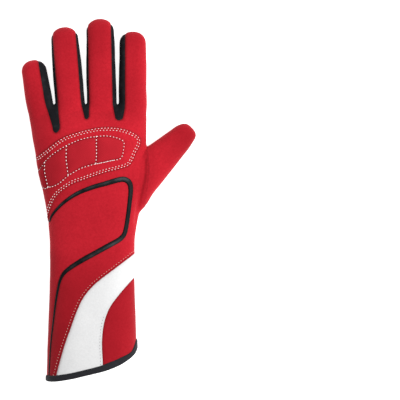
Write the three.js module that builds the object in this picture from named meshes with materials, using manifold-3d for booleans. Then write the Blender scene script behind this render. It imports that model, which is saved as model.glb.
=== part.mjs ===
// A left-hand karting glove with a long cuff, lying palm down on a flat surface.
// +Y runs from the cuff's mouth to the fingertips, +X to the thumb's side and +Z up out of the
// back of the hand.
// The main form is a hollow fabric shell: closed outer and inner bodies are lofted through
// sections, subtracted, and the shell is then cut along the seams into the panels of the real glove.

import * as THREE from "three";
import { mergeVertices } from "three/addons/utils/BufferGeometryUtils.js";
import Module from "manifold-3d";

// Driving dimensions, in millimetres and degrees

const WALL = 1.5; // thickness of the fabric shell
const SEAM_GAP = 0.3; // clearance between pieces that are sewn together
const TOP_GAP = 0.5; // clearance under a piece that is sewn on top of another
const WIDEST_HEIGHT = 6; // height at which every section is widest
const SEAM_HEIGHT = 3.6; // height of the side seam between back and palm
const CUFF_LENGTH = 128; // lowest point of the mouth to the narrowest part of the wrist
const HAND_LENGTH = 134; // narrowest part of the wrist to the finger crotches
const CUFF_WIDTH = 86.5;
const WRIST_WIDTH = 80;
const PALM_WIDTH = 107.5;
const PALM_SHIFT = -2.4; // middle of the palm, left of the middle of the wrist
const FINGER_ROW_SHIFT = -5.2; // middle of the four finger roots, left of the middle of the wrist
const CUFF_THICKNESS = 33;
const WRIST_THICKNESS = 24;
const HAND_THICKNESS = 26;
const FINGER_THICKNESS = 17;
const WEB_HEIGHT = 12; // top of the crotch between two fingers
const CROTCH_GAP = 1.5; // between neighbouring fingers at the crotch
const ROOT_DEPTH = 24; // how far a finger's form runs on into the hand
const HEM_RISE = 41; // how much higher the mouth ends on the thumb's side
const BINDING_WIDTH = 5.8;
const BINDING_THICKNESS = 1;
const THUMB_LENGTH = 42.6; // thumb crotch to thumb tip, along the thumb
const THUMB_WIDTH = 25;
const THUMB_THICKNESS = 18;
const THUMB_ANGLE = 45; // between the thumb and the fingers
const PANEL_THICKNESS = 1; // knuckle panel
const PAD_EDGE = 0.7; // thickness of the knuckle pad at its stitches
const PAD_PUFF = 2.4; // how much higher the middle of a cell stands
const TRIM_HEIGHT = 1.1;
const TRIM_WIDTH = 4.6; // black trim at its widest
const TRIM_CROWN = 0.6; // width of the trim's top, as a share of its foot

// length: a share of HAND_LENGTH. width: a share of PALM_WIDTH. lean: degrees, away from the thumb.
const FINGERS = [
  { name: "little", length: 0.317, width: 0.239, lean: 9.8 },
  { name: "ring", length: 0.549, width: 0.266, lean: 4.7 },
  { name: "middle", length: 0.6045, width: 0.265, lean: 1.4 },
  { name: "index", length: 0.515, width: 0.252, lean: 0 },
];

// first and second: how far out from the two fingers' middles each gusset's seams run, as shares of
// half the finger's width. depth, below the crotch, and end, half the width there, are shares of
// PALM_WIDTH.
const GUSSETS = [
  { name: "fourchette_little_ring", first: 0.46, second: 0.8, depth: 0.252, end: 0.035 },
  { name: "fourchette_ring_middle", first: 0.79, second: 0.84, depth: 0.13, end: 0.02 },
  { name: "fourchette_middle_index", first: 0.77, second: 0.54, depth: 0.136, end: 0.035 },
];
const GUSSET_SHIFT = 0.0075; // how far a gusset's foot lies to the right, as such a share
const PALM_GUSSET_SEAM = 0.86; // first and second of every gusset on the palm side
const PALM_GUSSET_DEPTH = 0.3; // its depth there, as a share of the depth on the back
const PALM_GUSSET_END = 0.5; // and its end, as a share of the end on the back
const GUSSET_BEND = 1 / 3; // share of the shorter finger's length up to which a gusset's seam bends

// Shape constants of the sections

const BACK_ROUNDNESS = 2.6; // exponent of the superellipse above its widest height
const PALM_ROUNDNESS = 3; // and below it
const FLATTENING = 1.3; // how far the palm's curve would pass below the surface it rests on
const FLAT_SHARE = 0.55; // share of the width whose underside needs no points of its own
const TIP_ROUNDNESS = 2.1;
const TIP_LENGTH = 0.43; // length of a fingertip's dome, as a share of the finger's width
const TIP_STEPS = 4;
const TIP_REACH = 0.97; // share of the dome that the last ring of a fingertip stands at
const THUMB_DOME = 0.66; // sections of the thumb below this height are drawn in from below as well
const HAND_SIDES = 28;
const FINGER_SIDES = 16;

// Where each section of the hand stands. along is a share of HAND_LENGTH from the wrist. left, right
// and height run from 0, the wrist's size, over 1, the palm's, to 2, the finger roots'.
const HAND_SECTIONS = [
  { along: 1.0, left: 2.0, right: 2.0, height: 2.0 },
  { along: 0.96, left: 1.85, right: 1.9, height: 1.72 },
  { along: 0.9, left: 1.62, right: 1.7, height: 1.38 },
  { along: 0.83, left: 1.34, right: 1.4, height: 1.14 },
  { along: 0.74, left: 1.0, right: 1.1, height: 1.02 },
  { along: 0.64, left: 0.84, right: 1.1, height: 1.0 },
  { along: 0.53, left: 0.66, right: 1.0, height: 1.0 },
  { along: 0.41, left: 0.44, right: 0.86, height: 0.93 },
  { along: 0.28, left: 0.23, right: 0.56, height: 0.66 },
  { along: 0.15, left: 0.08, right: 0.23, height: 0.27 },
  { along: 0.0, left: 0.0, right: 0.0, height: 0.0 },
];

// The same for the cuff. along is a share of CUFF_LENGTH from the wrist to the mouth's lowest
// point, width and height run from 0 at the wrist to 1 at the mouth, and lift is a share of the
// binding's stand-off.
const CUFF_SECTIONS = [
  { along: 0.15, width: 0.0, height: 0.05, lift: 0 },
  { along: 0.33, width: 0.1, height: 0.22, lift: 0 },
  { along: 0.48, width: 0.26, height: 0.42, lift: 0 },
  { along: 0.62, width: 0.48, height: 0.63, lift: 1 },
  { along: 0.78, width: 0.72, height: 0.82, lift: 1 },
  { along: 1.0, width: 1.0, height: 1.0, lift: 1 },
  { along: 1.1, width: 1.12, height: 1.08, lift: 1 },
];

// Sections of a finger before its domed tip. Negative along is a share of ROOT_DEPTH below the
// crotch, positive along a share of the way from the crotch to the dome; width and height are
// shares of the finger's.
const FINGER_SECTIONS = [
  { along: -1.0, width: 0.7, height: 0.5 },
  { along: -0.55, width: 0.9, height: 0.88 },
  { along: 0.0, width: 1.0, height: 1.0 },
  { along: 0.6, width: 0.965, height: 0.98 },
  { along: 1.0, width: 0.92, height: 0.9 },
];

// Where the thumb's upper edge leaves the hand: across and along as in the lines on the back below.
const THUMB_CROTCH = { across: 1, along: 0.7 };

// Sections of the thumb, as the two places where each meets the outline. up and low are the upper
// and lower edges: along is a share of THUMB_LENGTH past the thumb crotch, out a share of THUMB_WIDTH.
const THUMB_SECTIONS = [
  { upAlong: -0.62, upOut: 0.16, lowAlong: -1.28, lowOut: 1.6, height: 0.8 },
  { upAlong: -0.38, upOut: 0.02, lowAlong: -0.95, lowOut: 1.56, height: 1.0 },
  { upAlong: -0.16, upOut: -0.03, lowAlong: -0.66, lowOut: 1.45, height: 1.06 },
  { upAlong: 0.05, upOut: 0.03, lowAlong: -0.31, lowOut: 1.38, height: 1.03 },
  { upAlong: 0.23, upOut: 0.09, lowAlong: 0.05, lowOut: 1.31, height: 0.98 },
  { upAlong: 0.42, upOut: 0.15, lowAlong: 0.34, lowOut: 1.25, height: 0.94 },
  { upAlong: 0.62, upOut: 0.2, lowAlong: 0.6, lowOut: 1.19, height: 0.88 },
  { upAlong: 0.8, upOut: 0.28, lowAlong: 0.8, lowOut: 1.12, height: 0.8 },
  { upAlong: 0.91, upOut: 0.38, lowAlong: 0.91, lowOut: 1.03, height: 0.66 },
  { upAlong: 0.97, upOut: 0.49, lowAlong: 0.97, lowOut: 0.92, height: 0.46 },
  { upAlong: 1.0, upOut: 0.62, lowAlong: 1.0, lowOut: 0.79, height: 0.2 },
];

// Lines on the back. across runs from -1 at the left edge to 1 at the thumb's edge of the hand,
// along from -1 at the mouth's lowest point over 0 at the wrist to 1 at the finger crotches.
const TRIM_LINE = [
  { across: -0.97, along: 0.185, width: 0.32 },
  { across: -0.91, along: 0.215, width: 0.4 },
  { across: -0.77, along: 0.265, width: 0.48 },
  { across: -0.57, along: 0.32, width: 0.58 },
  { across: -0.32, along: 0.372, width: 0.7 },
  { across: -0.04, along: 0.412, width: 0.82 },
  { across: 0.23, along: 0.44, width: 0.92 },
  { across: 0.5, along: 0.468, width: 1.0 },
  { across: 0.62, along: 0.466, width: 1.0 },
  { across: 0.7, along: 0.438, width: 1.0 },
  { across: 0.73, along: 0.385, width: 0.95 },
  { across: 0.74, along: 0.3, width: 0.85 },
  { across: 0.75, along: 0.22, width: 0.82 },
  { across: 0.75, along: 0.13, width: 0.88 },
  { across: 0.72, along: 0.08, width: 0.95 },
  { across: 0.63, along: 0.045, width: 1.0 },
  { across: 0.44, along: 0.01, width: 1.0 },
  { across: 0.15, along: -0.04, width: 1.0 },
  { across: -0.2, along: -0.1, width: 1.0 },
  { across: -0.5, along: -0.152, width: 0.95 },
  { across: -0.66, along: -0.19, width: 0.85 },
  { across: -0.74, along: -0.24, width: 0.7 },
  { across: -0.79, along: -0.31, width: 0.6 },
  { across: -0.84, along: -0.43, width: 0.48 },
  { across: -0.88, along: -0.57, width: 0.38 },
  { across: -0.92, along: -0.72, width: 0.3 },
  { across: -0.94, along: -0.88, width: 0.28 },
];
const TRIM_RUN_OUT = { across: -0.94, along: -1.2 }; // its seam runs on to here, past the mouth
const STRIPE_UPPER_EDGE = [
  { across: 1.1, along: -0.05 },
  { across: 0.86, along: -0.105 },
  { across: 0.48, along: -0.185 },
  { across: 0.19, along: -0.25 },
  { across: -0.04, along: -0.315 },
  { across: -0.24, along: -0.4 },
  { across: -0.38, along: -0.5 },
  { across: -0.52, along: -0.63 },
  { across: -0.65, along: -0.76 },
  { across: -0.79, along: -0.94 },
  { across: -0.85, along: -1.06 },
];
const STRIPE_LOWER_EDGE = [
  { across: 1.1, along: -0.21 },
  { across: 0.88, along: -0.28 },
  { across: 0.6, along: -0.375 },
  { across: 0.4, along: -0.46 },
  { across: 0.27, along: -0.57 },
  { across: 0.22, along: -0.7 },
  { across: 0.23, along: -0.84 },
  { across: 0.26, along: -1.0 },
];

// The knuckle panel and its pad, column by column: low and high are their edges along the glove.
const PANEL_COLUMNS = [
  { across: -0.965, low: 0.235, high: 0.632 },
  { across: -0.92, low: 0.264, high: 0.65 },
  { across: -0.85, low: 0.307, high: 0.67 },
  { across: -0.72, low: 0.36, high: 0.705 },
  { across: -0.55, low: 0.404, high: 0.75 },
  { across: -0.36, low: 0.441, high: 0.787 },
  { across: -0.15, low: 0.467, high: 0.812 },
  { across: 0.06, low: 0.494, high: 0.832 },
  { across: 0.28, low: 0.52, high: 0.841 },
  { across: 0.48, low: 0.538, high: 0.838 },
  { across: 0.64, low: 0.564, high: 0.824 },
  { across: 0.74, low: 0.602, high: 0.81 },
  { across: 0.82, low: 0.66, high: 0.79 },
  { across: 0.87, low: 0.705, high: 0.76 },
];
const PAD_COLUMNS = [
  { across: -0.94, low: 0.43, high: 0.555 },
  { across: -0.85, low: 0.415, high: 0.594 },
  { across: -0.76, low: 0.425, high: 0.628 },
  { across: -0.64, low: 0.449, high: 0.657 },
  { across: -0.52, low: 0.483, high: 0.685 },
  { across: -0.4, low: 0.513, high: 0.712 },
  { across: -0.26, low: 0.541, high: 0.735 },
  { across: -0.12, low: 0.562, high: 0.755 },
  { across: 0.1, low: 0.582, high: 0.768 },
  { across: 0.24, low: 0.594, high: 0.773 },
  { across: 0.38, low: 0.606, high: 0.77 },
  { across: 0.5, low: 0.62, high: 0.757 },
  { across: 0.575, low: 0.655, high: 0.72 },
];
const PAD_SEAMS = [-0.83, -0.46, 0.1]; // stitched lines that part the cells, by across
const SEAM_PINCH = 0.07; // half the width of such a line's valley, by across
const PAD_EDGE_RISE = 6.4; // how steeply a cell rises from the pad's edges; 4 is a plain arch

// The cuff's mouth: across as above, rise a share of HEM_RISE.
const HEM_LINE = [
  { across: -1.4, rise: 0.0 },
  { across: -0.9, rise: 0.012 },
  { across: -0.7, rise: 0.034 },
  { across: -0.4, rise: 0.09 },
  { across: -0.05, rise: 0.178 },
  { across: 0.3, rise: 0.268 },
  { across: 0.6, rise: 0.385 },
  { across: 0.8, rise: 0.508 },
  { across: 0.92, rise: 0.62 },
  { across: 0.985, rise: 0.77 },
  { across: 1.2, rise: 1.1 },
];

const wasm = await Module();
wasm.setup();

// Bodies from lofts and prisms

const mix = (a, b, share) => a + (b - a) * share;
const degrees = (angle) => (angle * Math.PI) / 180;

// A geometry as a solid for cutting and joining.
function solidOf(geometry) {
  geometry.deleteAttribute("normal");
  geometry.deleteAttribute("uv");
  const merged = mergeVertices(geometry, 1e-4);
  return new wasm.Manifold(
    new wasm.Mesh({
      numProp: 3,
      vertProperties: merged.attributes.position.array,
      triVerts: new Uint32Array(merged.index.array),
    }),
  );
}

// A closed geometry through rings with equally many points, capped at both ends.
function loft(rings) {
  const sides = rings[0].length;
  const last = (rings.length - 1) * sides;
  const faces = [];
  for (let i = 0; i + 1 < rings.length; i++) {
    for (let k = 0; k < sides; k++) {
      const a = i * sides + k;
      const b = i * sides + ((k + 1) % sides);
      faces.push(a, a + sides, b + sides, a, b + sides, b);
    }
  }
  for (let k = 1; k + 1 < sides; k++) {
    faces.push(0, k, k + 1);
    faces.push(last, last + k + 1, last + k);
  }
  const geometry = new THREE.BufferGeometry();
  geometry.setFromPoints(rings.flat());
  geometry.setIndex(faces);
  return geometry;
}

// One section between two places in the plan: a superellipse, flattened where it rests on the palm.
function ring(left, right, above, below, sides) {
  const middle = left.clone().add(right).multiplyScalar(0.5);
  const side = right.clone().sub(left).multiplyScalar(0.5);
  const points = [];
  for (let k = 0; k < sides; k++) {
    const angle = (2 * Math.PI * k) / sides;
    const [c, s] = [Math.cos(angle), Math.sin(angle)];
    if (s < 0 && Math.abs(c) < FLAT_SHARE) continue;
    const power = 2 / (s >= 0 ? BACK_ROUNDNESS : PALM_ROUNDNESS);
    const across = Math.sign(c) * Math.abs(c) ** power;
    const drop = Math.min(below, below * FLATTENING * Math.abs(s) ** power);
    const z = s >= 0 ? above * s ** power : -drop;
    points.push(
      new THREE.Vector3(middle.x + side.x * across, middle.y + side.y * across, WIDEST_HEIGHT + z),
    );
  }
  return points;
}

// A prism over a plan outline, from z = low up to high.
const FAR_BELOW = -20;
const FAR_ABOVE = 120;
function prism(outline, low = FAR_BELOW, high = FAR_ABOVE) {
  const geometry = new THREE.ExtrudeGeometry(new THREE.Shape(outline), {
    depth: high - low,
    bevelEnabled: false,
  });
  return solidOf(geometry.translate(0, 0, low));
}

// A smooth line through plan points.
function smooth(points, steps) {
  return new THREE.SplineCurve(points).getPoints(steps);
}

// A line moved sideways to its left by a distance.
function shifted(line, distance) {
  return line.map((point, i) => {
    const ahead = line[Math.min(i + 1, line.length - 1)];
    const behind = line[Math.max(i - 1, 0)];
    const along = ahead.clone().sub(behind).normalize();
    return new THREE.Vector2(point.x - along.y * distance, point.y + along.x * distance);
  });
}

// The hand and cuff

const stage = (share, wrist, palm, roots) =>
  share <= 1 ? mix(wrist, palm, share) : mix(palm, roots, share - 1);

const WRIST_Y = CUFF_LENGTH;
const CROTCH_Y = CUFF_LENGTH + HAND_LENGTH;
const STAND_OFF = BINDING_THICKNESS + SEAM_GAP;
const fingerSizes = FINGERS.map((f) => ({
  ...f,
  length: f.length * HAND_LENGTH,
  width: f.width * PALM_WIDTH,
}));
const ROW_WIDTH = fingerSizes.reduce((sum, f) => sum + f.width, CROTCH_GAP * (FINGERS.length - 1));
const ROW_LEFT = FINGER_ROW_SHIFT - ROW_WIDTH / 2;
const TUCK = 0.8; // the hand's form starts this far inside the outermost fingers

const handSections = [
  ...HAND_SECTIONS.map((s) => ({
    y: WRIST_Y + HAND_LENGTH * s.along,
    left: stage(s.left, -WRIST_WIDTH / 2, PALM_SHIFT - PALM_WIDTH / 2, ROW_LEFT + TUCK),
    right: stage(s.right, WRIST_WIDTH / 2, PALM_SHIFT + PALM_WIDTH / 2, ROW_LEFT + ROW_WIDTH - TUCK),
    top: stage(s.height, WRIST_THICKNESS, HAND_THICKNESS, WEB_HEIGHT),
    floor: 0,
  })),
  ...CUFF_SECTIONS.map((s) => ({
    y: WRIST_Y - CUFF_LENGTH * s.along,
    left: -mix(WRIST_WIDTH, CUFF_WIDTH, s.width) / 2,
    right: mix(WRIST_WIDTH, CUFF_WIDTH, s.width) / 2,
    top: mix(WRIST_THICKNESS, CUFF_THICKNESS, s.height),
    floor: STAND_OFF * s.lift,
  })),
].reverse();

// The hand and cuff as one body, drawn in by inset on every side.
function handBody(inset) {
  const end = handSections.length - 1;
  const rings = handSections.map((s, i) => {
    const y = i === end ? s.y - inset : s.y;
    return ring(
      new THREE.Vector2(s.left + inset, y),
      new THREE.Vector2(s.right - inset, y),
      s.top - WIDEST_HEIGHT - inset,
      WIDEST_HEIGHT - s.floor - inset,
      HAND_SIDES,
    );
  });
  return solidOf(loft(rings));
}

// The hand's section at any y, between the two nearest ones.
function handAt(y) {
  const top = handSections.length - 1;
  const i = handSections.findIndex((s, k) => k === top || handSections[k + 1].y >= y);
  const [a, b] = [handSections[Math.min(i, top - 1)], handSections[Math.min(i + 1, top)]];
  const share = (y - a.y) / (b.y - a.y);
  return {
    left: mix(a.left, b.left, share),
    right: mix(a.right, b.right, share),
    top: mix(a.top, b.top, share),
  };
}

// A place on the back, from its across and along, as a plan point.
function planPoint({ across, along }) {
  const y = WRIST_Y + along * (along < 0 ? CUFF_LENGTH : HAND_LENGTH);
  const { left, right } = handAt(y);
  return new THREE.Vector2(mix(left, right, (across + 1) / 2), y);
}

// A plan point raised onto the back of the hand, and lift further out.
function onBack(point, lift) {
  const { left, right, top } = handAt(point.y);
  const [middle, half] = [(left + right) / 2, (right - left) / 2];
  const across = THREE.MathUtils.clamp((point.x - middle) / half, -1, 1);
  const height = (1 - Math.abs(across) ** BACK_ROUNDNESS) ** (1 / BACK_ROUNDNESS);
  return new THREE.Vector3(
    middle + (half + lift) * across,
    point.y,
    WIDEST_HEIGHT + (top - WIDEST_HEIGHT + lift) * height,
  );
}

// The fingers

let walked = ROW_LEFT;
const fingers = fingerSizes.map((finger) => {
  const lean = degrees(finger.lean);
  const root = new THREE.Vector2(walked + finger.width / 2, CROTCH_Y);
  walked += finger.width + CROTCH_GAP;
  return {
    ...finger,
    root,
    ahead: new THREE.Vector2(-Math.sin(lean), Math.cos(lean)),
    right: new THREE.Vector2(Math.cos(lean), Math.sin(lean)),
  };
});

// The plan point at a distance along a finger and out to its right.
function onFinger(finger, along, out) {
  return finger.root.clone().addScaledVector(finger.ahead, along).addScaledVector(finger.right, out);
}

function fingerBody(finger, inset) {
  const dome = finger.width * TIP_LENGTH;
  const length = finger.length - inset;
  const section = (along, width, height, depth) => {
    const half = (finger.width / 2 - inset) * width;
    return ring(
      onFinger(finger, along, -half),
      onFinger(finger, along, half),
      (FINGER_THICKNESS - WIDEST_HEIGHT - inset) * height,
      (WIDEST_HEIGHT - inset) * depth,
      FINGER_SIDES,
    );
  };
  const rings = FINGER_SECTIONS.map((s) =>
    section(s.along * (s.along < 0 ? ROOT_DEPTH : length - dome), s.width, s.height, 1),
  );
  const start = FINGER_SECTIONS[FINGER_SECTIONS.length - 1];
  for (let k = 1; k <= TIP_STEPS; k++) {
    const s = Math.sin((TIP_REACH * k * Math.PI) / 2 / TIP_STEPS);
    const narrow = (1 - s ** TIP_ROUNDNESS) ** (1 / TIP_ROUNDNESS);
    rings.push(
      section(length - dome + dome * s, start.width * narrow, start.height * narrow, narrow),
    );
  }
  return solidOf(loft(rings));
}

// Hand, cuff and fingers as one body.
function gloveBody(inset) {
  return fingers.reduce((body, finger) => body.add(fingerBody(finger, inset)), handBody(inset));
}

// The thumb

const thumbCrotch = planPoint(THUMB_CROTCH);
const thumbLean = degrees(THUMB_ANGLE);
const thumbAhead = new THREE.Vector2(Math.sin(thumbLean), Math.cos(thumbLean));
const thumbOut = new THREE.Vector2(Math.cos(thumbLean), -Math.sin(thumbLean));

function thumbBody(inset) {
  const rings = THUMB_SECTIONS.map((s) => {
    const at = (along, out) =>
      thumbCrotch
        .clone()
        .addScaledVector(thumbAhead, along * (THUMB_LENGTH - inset))
        .addScaledVector(thumbOut, out);
    const middle = ((s.upOut + s.lowOut) / 2) * THUMB_WIDTH;
    const reach = ((s.lowOut - s.upOut) / 2) * (THUMB_WIDTH - 2 * inset);
    const round = Math.min(1, s.height / THUMB_DOME);
    return ring(
      at(s.upAlong, middle - reach),
      at(s.lowAlong, middle + reach),
      (THUMB_THICKNESS - WIDEST_HEIGHT - inset) * s.height,
      (WIDEST_HEIGHT - inset) * round,
      FINGER_SIDES,
    );
  });
  return solidOf(loft(rings));
}

// Seams in the plan

const LINE_STEPS = 15;
const FAR_OUT = 160; // beyond every edge of the glove in the plan

// The plan above the mouth's edge, drawn in by a distance.
function aboveHem(distance) {
  const line = smooth(
    HEM_LINE.map(({ across, rise }) => {
      const edge = planPoint({ across, along: -1 });
      return new THREE.Vector2(edge.x, edge.y + rise * HEM_RISE);
    }),
    LINE_STEPS,
  );
  return prism([
    ...shifted(line, distance),
    new THREE.Vector2(FAR_OUT, CROTCH_Y + FAR_OUT),
    new THREE.Vector2(-FAR_OUT, CROTCH_Y + FAR_OUT),
    new THREE.Vector2(-FAR_OUT, distance),
  ]);
}

// The plan between two neighbouring fingers: from one gusset seam, round the crotch, to the other.
const GUSSET_FOOT = [
  { out: 1, up: 0.25 },
  { out: 0.7, up: 0.07 },
];
const PAST_TIP = FINGER_THICKNESS / 3; // how far these cuts run on beyond the fingertips
function gussetOutline(index, first, second, depth, end) {
  const [a, b] = [fingers[index], fingers[index + 1]];
  const outA = (first * a.width) / 2;
  const outB = (-second * b.width) / 2;
  const low = onFinger(a, 0, a.width / 2)
    .add(onFinger(b, 0, -b.width / 2))
    .multiplyScalar(0.5)
    .add(new THREE.Vector2(GUSSET_SHIFT * PALM_WIDTH, -depth));
  const foot = (out, up) => new THREE.Vector2(low.x + out * end, low.y + up * depth);
  return [
    onFinger(a, a.length + PAST_TIP, outA),
    ...smooth(
      [
        onFinger(a, a.length * GUSSET_BEND, outA),
        onFinger(a, 0, outA),
        ...GUSSET_FOOT.map(({ out, up }) => foot(-out, up)),
        low,
        ...GUSSET_FOOT.toReversed().map(({ out, up }) => foot(out, up)),
        onFinger(b, 0, outB),
        onFinger(b, a.length * GUSSET_BEND, outB),
      ],
      LINE_STEPS,
    ),
    onFinger(b, b.length + PAST_TIP, outB),
  ];
}

// A gusset's cutting body: one outline above the side seam and a slimmer one on the palm side.
const OVERLAP = 0.01; // by which two prisms that are joined pass into each other
function gussetCut({ first, second, depth, end }, index, grow) {
  const seam = PALM_GUSSET_SEAM;
  const [deep, slim] = [depth * PALM_WIDTH, end * PALM_WIDTH];
  const back = gussetOutline(index, first, second, deep, slim);
  const under = gussetOutline(
    index,
    seam,
    seam,
    deep * PALM_GUSSET_DEPTH,
    slim * PALM_GUSSET_END,
  );
  return prism(shifted(back, -grow), SEAM_HEIGHT - OVERLAP).add(
    prism(shifted(under, -grow), FAR_BELOW, SEAM_HEIGHT),
  );
}

// Panels of the cuff

const trimPoints = TRIM_LINE.map(planPoint);
const wristOutline = [
  ...smooth(trimPoints, LINE_STEPS * 2),
  planPoint(TRIM_RUN_OUT),
  new THREE.Vector2(-FAR_OUT, -FAR_OUT),
  new THREE.Vector2(-FAR_OUT, trimPoints[0].y),
];
const stripeUpper = smooth(STRIPE_UPPER_EDGE.map(planPoint), LINE_STEPS);
const stripeLower = smooth(STRIPE_LOWER_EDGE.map(planPoint), LINE_STEPS);
const below = (line, distance) => [
  ...shifted(line, distance),
  new THREE.Vector2(line[line.length - 1].x, -FAR_OUT),
  new THREE.Vector2(FAR_OUT, -FAR_OUT),
  new THREE.Vector2(FAR_OUT, line[0].y),
];

// Cutting the shell into its pieces

const outer = gloveBody(0);
const inner = gloveBody(WALL);
const thumbOuter = thumbBody(0);
const thumbInner = thumbBody(WALL);
const clearOfHem = aboveHem(STAND_OFF);

const shell = outer.subtract(inner).subtract(thumbInner).intersect(clearOfHem);
const slab = (low, high) =>
  prism(
    [
      [-1, -1],
      [1, -1],
      [1, 1],
      [-1, 1],
    ].map(([x, y]) => new THREE.Vector2(x, y).multiplyScalar(3 * FAR_OUT)),
    low,
    high,
  );
const half = SEAM_GAP / 2;
const backShell = shell.intersect(slab(SEAM_HEIGHT + half, FAR_ABOVE));
const palmShell = shell.intersect(slab(FAR_BELOW, SEAM_HEIGHT - half));

const gussets = GUSSETS.map((g, i) => shell.intersect(gussetCut(g, i, 0)));
const gussetRoom = GUSSETS.map((g, i) => gussetCut(g, i, SEAM_GAP)).reduce((a, b) => a.add(b));

const stripeCut = prism(below(stripeUpper, 0));
const stripeRoom = prism(below(stripeUpper, -SEAM_GAP));
const cornerCut = prism(below(stripeLower, 0));
const cornerRoom = prism(below(stripeLower, -SEAM_GAP));
const wristCut = prism(wristOutline);
// At the side seam the shell's inner corner reaches further in, so the room is wider there.
const cornerReach = prism(shifted(wristOutline, 2 * WALL), FAR_BELOW, SEAM_HEIGHT + WALL / 2);
const wristRoom = prism(shifted(wristOutline, SEAM_GAP)).add(cornerReach);

const backPanel = backShell.subtract(gussetRoom).subtract(wristRoom).subtract(stripeRoom);
const wristPanel = backShell.intersect(wristCut).subtract(stripeRoom);
const stripePanel = backShell.intersect(stripeCut).subtract(cornerRoom).subtract(wristRoom);
const cornerPanel = backShell.intersect(cornerCut).subtract(wristRoom);
const palmPanel = palmShell.subtract(gussetRoom);
const thumb = thumbOuter.subtract(thumbInner).subtract(gloveBody(-SEAM_GAP));

// The tape folded round the edge of the mouth
const tape = handBody(-STAND_OFF)
  .subtract(handBody(WALL + STAND_OFF))
  .intersect(aboveHem(0))
  .subtract(aboveHem(BINDING_WIDTH));
const tapeGroove = handBody(-SEAM_GAP)
  .subtract(handBody(WALL + SEAM_GAP))
  .intersect(aboveHem(BINDING_THICKNESS));
const hemBinding = tape.subtract(tapeGroove);

// Pieces sewn onto the back: a grid of columns between two edges, with a thickness

function sewnOn(columns, rows, lift, thickness) {
  const line = (key) => columns.map(({ across, [key]: along }) => ({ across, along }));
  const [low, high] = [line("low"), line("high")];
  const rings = columns.map(({ across }, i) => {
    const under = [];
    const over = [];
    for (let k = 0; k <= rows; k++) {
      const share = k / rows;
      const point = planPoint({ across, along: mix(low[i].along, high[i].along, share) });
      under.push(onBack(point, lift));
      over.push(onBack(point, lift + thickness(across, share)));
    }
    return [...over, ...under.reverse()];
  });
  return loft(rings);
}

// Columns with further ones between them, so that a curved piece follows the back.
function refined(columns, times) {
  return columns.flatMap((column, i) => {
    const next = columns[i + 1];
    if (!next) return [column];
    return Array.from({ length: times }, (_, k) => ({
      across: mix(column.across, next.across, k / times),
      low: mix(column.low, next.low, k / times),
      high: mix(column.high, next.high, k / times),
    }));
  });
}

// How full a cell of the pad is: 0 at its stitches, 1 in its middle.
function padFullness(across, share) {
  const first = PAD_COLUMNS[0].across;
  const last = PAD_COLUMNS[PAD_COLUMNS.length - 1].across;
  const nearest = Math.min(...[first, ...PAD_SEAMS, last].map((seam) => Math.abs(across - seam)));
  const cell = Math.min(1, nearest / SEAM_PINCH);
  const edge = Math.min(1, share * (1 - share) * PAD_EDGE_RISE);
  return Math.sin((cell * Math.PI) / 2) * Math.sin((edge * Math.PI) / 2);
}

const PANEL_ROWS = 5;
const PAD_ROWS = 6;
const knucklePanel = solidOf(
  sewnOn(refined(PANEL_COLUMNS, 2), PANEL_ROWS, TOP_GAP, () => PANEL_THICKNESS),
);
const knucklePad = solidOf(
  sewnOn(
    refined(PAD_COLUMNS, 2),
    PAD_ROWS,
    PANEL_THICKNESS + 2 * TOP_GAP,
    (across, share) => PAD_EDGE + PAD_PUFF * padFullness(across, share),
  ),
);

// The raised trim, a crowned strip along its line

const TRIM_STEPS = 52;
function trimBody() {
  const line = new THREE.SplineCurve(trimPoints);
  const rings = Array.from({ length: TRIM_STEPS + 1 }, (_, i) => {
    const t = i / TRIM_STEPS;
    const place = t * (TRIM_LINE.length - 1);
    const row = Math.min(Math.floor(place), TRIM_LINE.length - 2);
    const width = TRIM_WIDTH * mix(TRIM_LINE[row].width, TRIM_LINE[row + 1].width, place - row);
    const ahead = line.getTangent(t);
    const point = (out, lift) =>
      onBack(line.getPoint(t).addScaledVector(new THREE.Vector2(ahead.y, -ahead.x), out * width), lift);
    const top = TOP_GAP + TRIM_HEIGHT;
    const crown = TRIM_CROWN / 2;
    return [point(-0.5, TOP_GAP), point(0.5, TOP_GAP), point(crown, top), point(-crown, top)];
  });
  return solidOf(loft(rings));
}

// Materials

const fabric = (color, roughness = 0.85) =>
  new THREE.MeshStandardMaterial({ color, roughness, metalness: 0 });
const red = fabric(0xc3202f);
const padRed = fabric(0xb51f2d, 0.9);
const palmRed = fabric(0xa51c29, 0.95);
const white = fabric(0xf2f2f2);
const black = fabric(0x17171b, 0.8);
const trimBlack = fabric(0x202022, 0.45);

// The glove

const glove = new THREE.Group();
function piece(name, solid, material) {
  const { numProp, numVert, vertProperties, triVerts } = solid.getMesh();
  const places = new Float32Array(numVert * 3);
  for (let i = 0; i < numVert; i++) {
    places.set(vertProperties.subarray(i * numProp, i * numProp + 3), 3 * i);
  }
  const geometry = new THREE.BufferGeometry();
  geometry.setAttribute("position", new THREE.BufferAttribute(places, 3));
  geometry.setIndex(new THREE.BufferAttribute(triVerts, 1));
  geometry.computeVertexNormals();
  const mesh = new THREE.Mesh(geometry, material);
  mesh.name = name;
  glove.add(mesh);
}

piece("back_panel", backPanel, red);
piece("wrist_panel", wristPanel, red);
piece("stripe_panel", stripePanel, white);
piece("corner_panel", cornerPanel, red);
piece("palm_panel", palmPanel, palmRed);
piece("thumb", thumb, red);
GUSSETS.forEach((g, i) => piece(g.name, gussets[i], black));
piece("knuckle_panel", knucklePanel, red);
piece("knuckle_pad", knucklePad, padRed);
piece("trim", trimBody(), trimBlack);
piece("hem_binding", hemBinding, black);

// The origin is the middle of the glove's outline, on the surface that it lies on.
const bounds = new THREE.Box3().setFromObject(glove);
const middle = bounds.getCenter(new THREE.Vector3());
glove.position.set(-middle.x, -middle.y, -bounds.min.z);

export default glove;
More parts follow.
